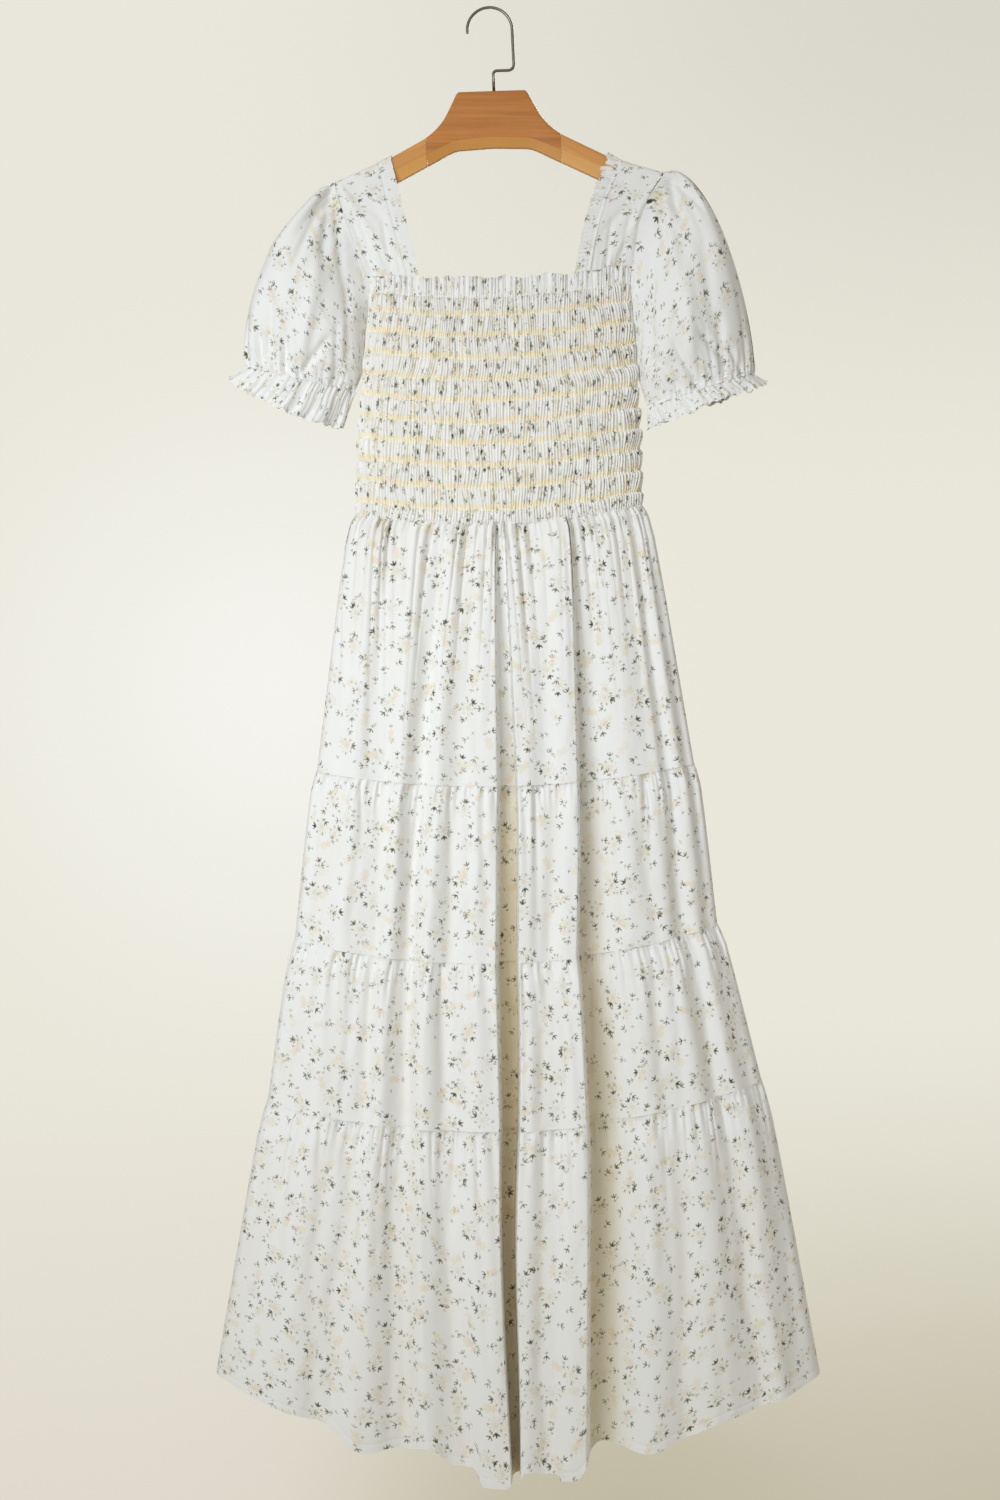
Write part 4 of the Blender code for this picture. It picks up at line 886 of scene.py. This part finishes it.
# Finer valleys of the front, tier by tier, from the seam down: height and x by turns, then depth and half width.
FURROWS = (
    ((-526, -119, -591, -131, -671, -148, 2.6, 6), (-526, -93, -591, -109, -671, -116, -751, -121, 3.2, 6), (-526, -82, -591, -90, -671, -95, -751, -97, 2.6, 5),
     (-526, -64, -591, -67, -671, -63, -751, -73, 3.4, 6), (-526, -46, -591, -51, -640, -56, 2.4, 4), (-526, -23, -591, -20, -671, -17, -751, -10, 3.4, 6),
     (-526, 39, -591, 38, -671, 35, -720, 32, 3.0, 6), (-526, 63, -591, 61, -671, 56, 2.6, 5), (-526, 102, -591, 102, -640, 104, 2.4, 5),
     (-526, 132, -591, 142, -671, 155, -751, 164, 3.4, 7), (-640, 186, -700, 192, -751, 195, 2.6, 5), (-591, -149, -671, -158, -751, -166, 2.2, 5),
     (-526, 118, -600, 124, -680, 128, 2.0, 5), (-526, -8, -570, -6, -620, -2, 2.0, 4)),
    ((-791, -147, -851, -156, -921, -173, 3.0, 6), (-791, -123, -851, -131, -900, -136, 2.6, 5), (-791, -106, -851, -106, -921, -111, 3.0, 6),
     (-791, -73, -851, -76, -921, -80, 3.4, 6), (-791, -33, -851, -37, -921, -39, 3.6, 6), (-791, -9, -851, -4, -890, -2, 2.6, 5),
     (-791, 64, -851, 64, -921, 60, 3.6, 6), (-791, 115, -851, 122, -900, 128, 2.8, 5), (-791, 144, -851, 153, -921, 166, 3.2, 6),
     (-791, 168, -851, 179, -921, 192, 3.6, 6), (-791, 198, -851, 201, -921, 212, 3.0, 6), (-791, -162, -830, -166, -870, -170, 2.4, 4)),
    ((-971, -174, -1041, -196, -1090, -206, 3.2, 6), (-971, -147, -1041, -152, -1090, -158, 3.4, 7), (-971, -117, -1041, -123, -1090, -126, 3.2, 6),
     (-971, -75, -1041, -79, -1100, -80, 4.0, 7), (-971, -44, -1041, -46, -1100, -48, 3.2, 6), (-971, -18, -1010, -19, -1050, -22, 2.6, 5),
     (-971, 56, -1041, 52, -1100, 50, 3.8, 6), (-971, 107, -1010, 110, -1060, 114, 2.8, 5), (-971, 134, -1010, 140, -1060, 146, 2.8, 5),
     (-971, 163, -1041, 166, -1100, 174, 4.0, 7), (-971, 201, -1041, 214, -1100, 224, 3.8, 6), (-971, 228, -1041, 243, -1090, 252, 3.0, 6),
     (-971, 73, -1020, 74, -1060, 76, 2.4, 4), (-971, -93, -1010, -96, -1040, -98, 2.4, 4)),
    ((-1141, -225, -1191, -222, -1271, -245, -1351, -263, 4.0, 8), (-1141, -163, -1191, -166, -1271, -175, -1411, -173, 4.0, 8),
     (-1141, -141, -1191, -132, -1271, -152, -1351, -154, 3.4, 7), (-1141, -107, -1191, -111, -1240, -112, 3.0, 6),
     (-1141, -75, -1191, -76, -1271, -75, -1351, -78, -1411, -86, 4.6, 8), (-1200, -96, -1271, -94, -1351, -96, -1411, -98, 3.4, 6),
     (-1141, -48, -1191, -49, -1271, -36, -1351, -34, -1411, -23, 4.0, 7), (-1141, 5, -1191, 7, -1271, 12, -1351, 18, -1411, 17, 3.4, 5),
     (-1141, 50, -1191, 51, -1271, 51, -1351, 48, -1411, 58, 3.8, 6), (-1141, 133, -1170, 140, -1220, 148, 3.2, 6),
     (-1141, 182, -1191, 189, -1271, 193, -1351, 189, -1411, 194, 4.6, 8), (-1141, 244, -1191, 257, -1271, 251, -1351, 268, 4.6, 8),
     (-1220, 272, -1271, 278, -1351, 298, 3.4, 7), (-1141, 163, -1180, 166, -1230, 170, 2.8, 5), (-1141, 227, -1180, 232, -1230, 236, 2.8, 5),
     (-1141, -200, -1180, -203, -1240, -206, 2.8, 5), (-1280, 222, -1340, 226, -1400, 232, 2.6, 7), (-1300, -128, -1360, -126, -1420, -124, 2.4, 7)),
)


def through_three(share, values):
    """A smooth curve through the values at the waist, at mid-skirt and at the hem."""
    m = 0.46
    top, middle, bottom = np.moveaxis(values, -1, 0)
    share = np.asarray(share)[..., None]
    return top * (share - m) * (share - 1) / m + middle * share * (share - 1) / (m * (m - 1)) + bottom * share * (share - m) / (1 - m)


def along_folds(values, at):
    """Values given fold by fold, one row of them for each height, read between the folds at places along."""
    k = np.clip(at.astype(int), 0, values.shape[-1] - 2)
    return values[..., k] * (1 - (at - k)) + values[..., k + 1] * (at - k)


# Where between two folds the cloth steps in or out, for the sides of the two deep valleys: from and to.
STEPS = {8: (0.48, 0.62), 9: (0.18, 0.4), 12: (0.42, 0.66)}


def eased(at, face=BACK):
    """Places along the folds, moved so that a value read there turns smoothly at each fold."""
    k = np.floor(at)
    part = at - k
    for fold, (start, stop) in STEPS.items():
        if face == BACK:
            fold, start, stop = len(FRONT_FOLDS) - 2 - fold, 1 - stop, 1 - start
        floor = 0.8 if fold == (8 if face == FRONT else len(FRONT_FOLDS) - 10) else 1.0
        part = np.where(k == fold, np.interp(part, (start, stop, 1.0), (0.0, floor, 1.0)), part)
    return k + ease(part)


def furrowed(x, z, furrows):
    """How far the finer valleys go in at each place, from their drawn courses."""
    total = np.zeros(np.broadcast(x, z).shape)
    for *course, depth, width in furrows:
        height, across = np.array(course[0::2][::-1]), np.array(course[1::2][::-1])
        middle = np.interp(z, height, across)
        over = np.maximum(0.0, z - height[-1]) / 14.0 + np.maximum(0.0, height[0] - z) / 34.0
        total = total + depth * np.exp(-(over**2)) * np.exp(-(((x - middle) / width) ** 2))
    return total


def tier_surface(number, face, at, share):
    """A tier's big folds: places at shares of its height and at places along its folds, without the fine tucks."""
    folds = FRONT_FOLDS if face == FRONT else BACK_FOLDS
    line = blend_lines(SKIRT_LINES[number], SKIRT_LINES[number + 1], share)
    puff = np.interp(share, (0.0, 0.03, 0.12, 0.3, 0.5, 0.8, 1.0), (0.0, 1.6, 3.6, 3.4, 2.5, 1.0, 0.0))
    line = line + puff[:, None] * (-1, 1, 0, 0, 0, 1, 1)
    down = (WAIST[2] - line[:, 2]) / (WAIST[2] - SKIRT_LINES[4][2])
    courses = through_three(down, folds[:, 0:3])
    if face == FRONT:
        # Low down, the first deep valley closes to a slit.
        courses[:, 9:12] -= np.exp(-(((down - 0.74) / 0.2) ** 2))[:, None] * (0.045, 0.045, 0.02)
    t = along_folds(courses, at)
    inward = along_folds(through_three(down, folds[:, 3:6]), eased(at, face))
    if number == 0:
        # The bodice's edge holds the first tier in, so its folds only open out below the seam.
        held = np.exp(-((share * 260.0 / 6.5) ** 2))[:, None]
        line = line * (1 - held) + WAIST * held
        inward = inward * (1 - held)
    drop = np.zeros_like(t)
    if number == 3:
        drop = along_folds(folds[:, 6], eased(at))[None, :] * share[:, None] ** 2
    return line[:, None, :], t, inward, drop


def tier_places(number, face, columns, rows, seed):
    """A tier's cloth: its places, the distance of each column along the cloth, each row's distance below the seam, and
    the painted shade in its folds.
    """
    last = len(FRONT_FOLDS) - 1.0
    share = np.concatenate([np.linspace(0.0, 0.14, rows // 3), np.linspace(0.14, 1.0, rows - rows // 3 + 1)[1:]])
    if number == 3:
        share = np.sort(np.concatenate([share, 1 - np.array([6.8, 7.6, 8.4, 9.2]) / 323.0]))
    at = np.linspace(0.0, last, 1200)
    line, t, inward, drop = tier_surface(number, face, at, np.array([0.6]))
    course = on_body(line, t, face, inward)[0]
    arc = np.concatenate([[0.0], np.cumsum(np.linalg.norm(np.diff(course, axis=0), axis=1))])
    at = np.interp(np.linspace(0.0, arc[-1], columns), arc, at)
    along = np.linspace(0.0, arc[-1], columns)
    line, t, inward, drop = tier_surface(number, face, at, share)
    plain = on_body(line, t, face, inward, drop)
    away = (-(SKIRT_LINES[number + 1][2] - SKIRT_LINES[number][2]) * share)[:, None]
    still = np.clip(np.minimum(along, arc[-1] - along) / 9.0, 0.0, 1.0) ** 0.7
    strong = 1.25 if number == 0 else 1.0
    tucks = gathers(along, away, arc[-1], 5.2, 1.9, 18.0, 1.4, seed, 0.03)
    tucks = tucks + gathers(along, away, arc[-1], 11.0, 2.2 if number == 0 else 2.9, 42.0 * strong, 2.5, seed + 1, 0.05)
    tucks = tucks + gathers(along, away, arc[-1], 27.0, 2.0 if number == 0 else 2.8, 150.0, 5.0, seed + 2, 0.05)
    pleats = 0.0 * tucks
    if number == 0:
        turn = along / 12.4 + 0.6 * noise(along / 26.0, seed + 8) + 0.35 * noise(along / 60.0, seed + 9) * away / 60.0
        deep = 0.75 + 0.45 * noise(np.floor(turn + 0.5) * 1.31, seed + 10)
        pleats = (1 - np.abs(np.cos(math.pi * turn)) ** 0.55) * deep * np.exp(-((away / (42.0 + 62.0 * deep)) ** 1.4))
        tucks = tucks + 5.8 * pleats - 2.6 * np.exp(-(((away - 7.0) / 5.0) ** 2))
    x, z = plain[..., 0], plain[..., 2]
    if face == BACK:
        x = 20.0 - x + 9.0 * np.sin(z / 90.0 + number)
    furrows = (0.36 if number == 0 else 0.62) * furrowed(x, z, FURROWS[number])
    tucks = tucks + furrows
    seam = np.clip(away / (3.5 if number == 0 else 5.0), 0.0, 1.0) ** 0.6
    lower = np.clip((1.0 - share)[:, None] * 12.0, 0.0, 1.0) if number < 3 else 1.0
    tucks = tucks * seam * (0.45 + 0.55 * lower)
    crinkle = 0.55 * noise(along / 17.0 + 0.9 * noise(away / 40.0, seed + 4), seed + 5) + 0.3 * noise(along / 7.5 + away / 19.0, seed + 6)
    tucks = tucks + crinkle * seam
    if number == 3:
        tucks = tucks + 0.4 * np.exp(-(((away[-1] - away - 8.0) / 0.9) ** 2))
    # Each tier's gathered edge is tucked a little up behind the edge of the tier above.
    behind = np.exp(-((away / 2.2) ** 2))
    tucked = 1.2
    if number == 0:
        tucked = 0.4 + 3.0 * np.clip(1 - tucks[np.searchsorted(away[:, 0], 5.0)] / 3.0, 0.0, 1.0) * still
    places = on_body(line, t, face, inward + (tucks + 0.6 * behind) * still, drop - tucked * behind)
    if number == 0:
        # The first tier's pleats are sewn over the smocked panel's lower edge, so their tops scallop the seam.
        edge, _ = smocking(face, np.array([float(PUFFS)]), RIB_SHARE)
        places[..., 1] += (np.interp(places[..., 0], edge[0, :, 0], edge[0, :, 1]) + face * 1.2 * still - places[..., 1]) * behind
    # The painted warm shade in the folds: most in the deepest valleys, some in the waist pleats and the finer valleys.
    depth = np.clip((inward - 11.0) / (25.0 if number else 34.0), 0.0, 1.0)
    return places, along, away, depth * depth * (3 - 2 * depth) + 0.35 * pleats + 0.05 * furrows


for number in range(4):
    for face, word in ((FRONT, "front"), (BACK, "back")):
        columns, rows = 430 + 40 * number, 60 if number < 3 else 78
        places, along, away, painted_fold_shade = tier_places(number, face, columns, rows, 500 + 40 * number + 10 * face)
        stretch = 1.05
        tier = lay_grid(f"skirt_cloth_{number + 1}_{word}", places, along * stretch, away[:, 0] + 300.0 * number, outward=face == FRONT)
        mark_painted_fold_shade(tier, np.broadcast_to(painted_fold_shade, places.shape[:2]))
        finish_piece(tier, crepe, "printed_cotton", f"tier_{number + 1}_{word}")


# The studio: a big soft light from the upper left, a weaker one behind, light from all round and a
# plain pale floor well below the hem, where the real dress hangs from a rail.
world = bpy.data.worlds.new("pale_studio")
bpy.context.scene.world = world
world.use_nodes = True
sky = world.node_tree
background = sky.nodes["Background"]
# The backdrop that camera rays see has painted shade: it is darker towards the right and towards the bottom.
way = add(sky, "TexCoord").outputs["Generated"]
apart = add(sky, "SeparateXYZ", {0: way})
across = add(sky, "MapRange", {"Value": apart.outputs[0], "From Min": -0.12, "From Max": 0.16}, interpolation_type="SMOOTHSTEP")
rise = add(sky, "MapRange", {"Value": apart.outputs[2], "From Min": 0.06, "From Max": 0.24}, interpolation_type="SMOOTHSTEP")
fall = add(sky, "MapRange", {"Value": apart.outputs[2], "From Min": -0.07, "From Max": -0.24}, interpolation_type="SMOOTHSTEP")
upper = mixed(sky, across.outputs[0], linear("#e9e7dc"), linear("#d8d6ca"))
lower = mixed(sky, across.outputs[0], linear("#dfdacd"), linear("#c5bea9"))
# A painted shadow on the backdrop below the dress.
underneath = add(sky, "VectorMath", {0: way, 1: (0.03, 1.0, -0.245)}, operation="DISTANCE").outputs["Value"]
shadow = add(sky, "MapRange", {"Value": underneath, "From Min": 0.11, "From Max": 0.02, "To Max": 0.75}, interpolation_type="SMOOTHSTEP")
lower = mixed(sky, shadow.outputs[0], lower, linear("#b9b198"))
# A painted pool of light on the backdrop beside the dress.
beside = add(sky, "VectorMath", {0: way, 1: (-0.07, 1.0, 0.02)}, operation="DISTANCE").outputs["Value"]
painted_light_pool = add(sky, "MapRange", {"Value": beside, "From Min": 0.15, "From Max": -0.02}, interpolation_type="SMOOTHSTEP")
middle = mixed(sky, painted_light_pool.outputs[0], linear("#e9e7da"), linear("#f5f4ef"))
seen = mixed(sky, fall.outputs[0], mixed(sky, rise.outputs[0], middle, upper), lower)
glow = add(sky, "MapRange", {"Value": apart.outputs[2], "From Min": -0.9, "From Max": 0.8}, interpolation_type="SMOOTHSTEP")
lit = mixed(sky, glow.outputs[0], linear("#7e7870"), linear("#c2c0b8"))
ray = add(sky, "LightPath").outputs["Is Camera Ray"]
sky.links.new(mixed(sky, ray, lit, seen), background.inputs["Color"])

# Each light: its place, where it points, its size, power, spread and colour.
for name, place, aim, size, energy, spread, colour in (
    ("soft_box", (-0.85, -1.6, -0.4), (-0.1, 0.0, -0.66), 1.0, 5.6, 86, (0.865, 0.92, 1.0)),
    ("soft_fill_behind", (0.5, 2.3, 0.4), (0.0, 0.0, -0.7), 1.2, 34.0, 180, (1.0, 0.98, 0.95)),
):
    light = bpy.data.lights.new(name, "AREA")
    light.size, light.energy, light.spread, light.color = size, energy, math.radians(spread), colour
    lamp = bpy.data.objects.new(name, light)
    lamp.location = place
    reach = np.array(aim) - np.array(place)
    lamp.rotation_euler = (math.acos(-reach[2] / np.linalg.norm(reach)), 0.0, math.atan2(reach[1], reach[0]) - math.pi / 2)
    lamp.visible_camera = False
    bpy.context.scene.collection.objects.link(lamp)

bm = bmesh.new()
bmesh.ops.create_grid(bm, x_segments=1, y_segments=1, size=1.9)
for vert in bm.verts:
    vert.co.z = -2.0
mesh = bpy.data.meshes.new("floor")
bm.to_mesh(mesh)
bm.free()
floor = bpy.data.objects.new("floor", mesh)
bpy.context.scene.collection.objects.link(floor)
screed, tree, shader = new_material("pale_painted_floor", Roughness=0.7)
mottle = add(tree, "TexNoise", {"Vector": add(tree, "TexCoord").outputs["Object"], "Scale": 3.0, "Detail": 3.0})
tree.links.new(mixed(tree, mottle.outputs["Fac"], linear("#ddd8cd"), linear("#e6e2d9")), shader.inputs["Base Color"])
mesh.materials.append(screed)
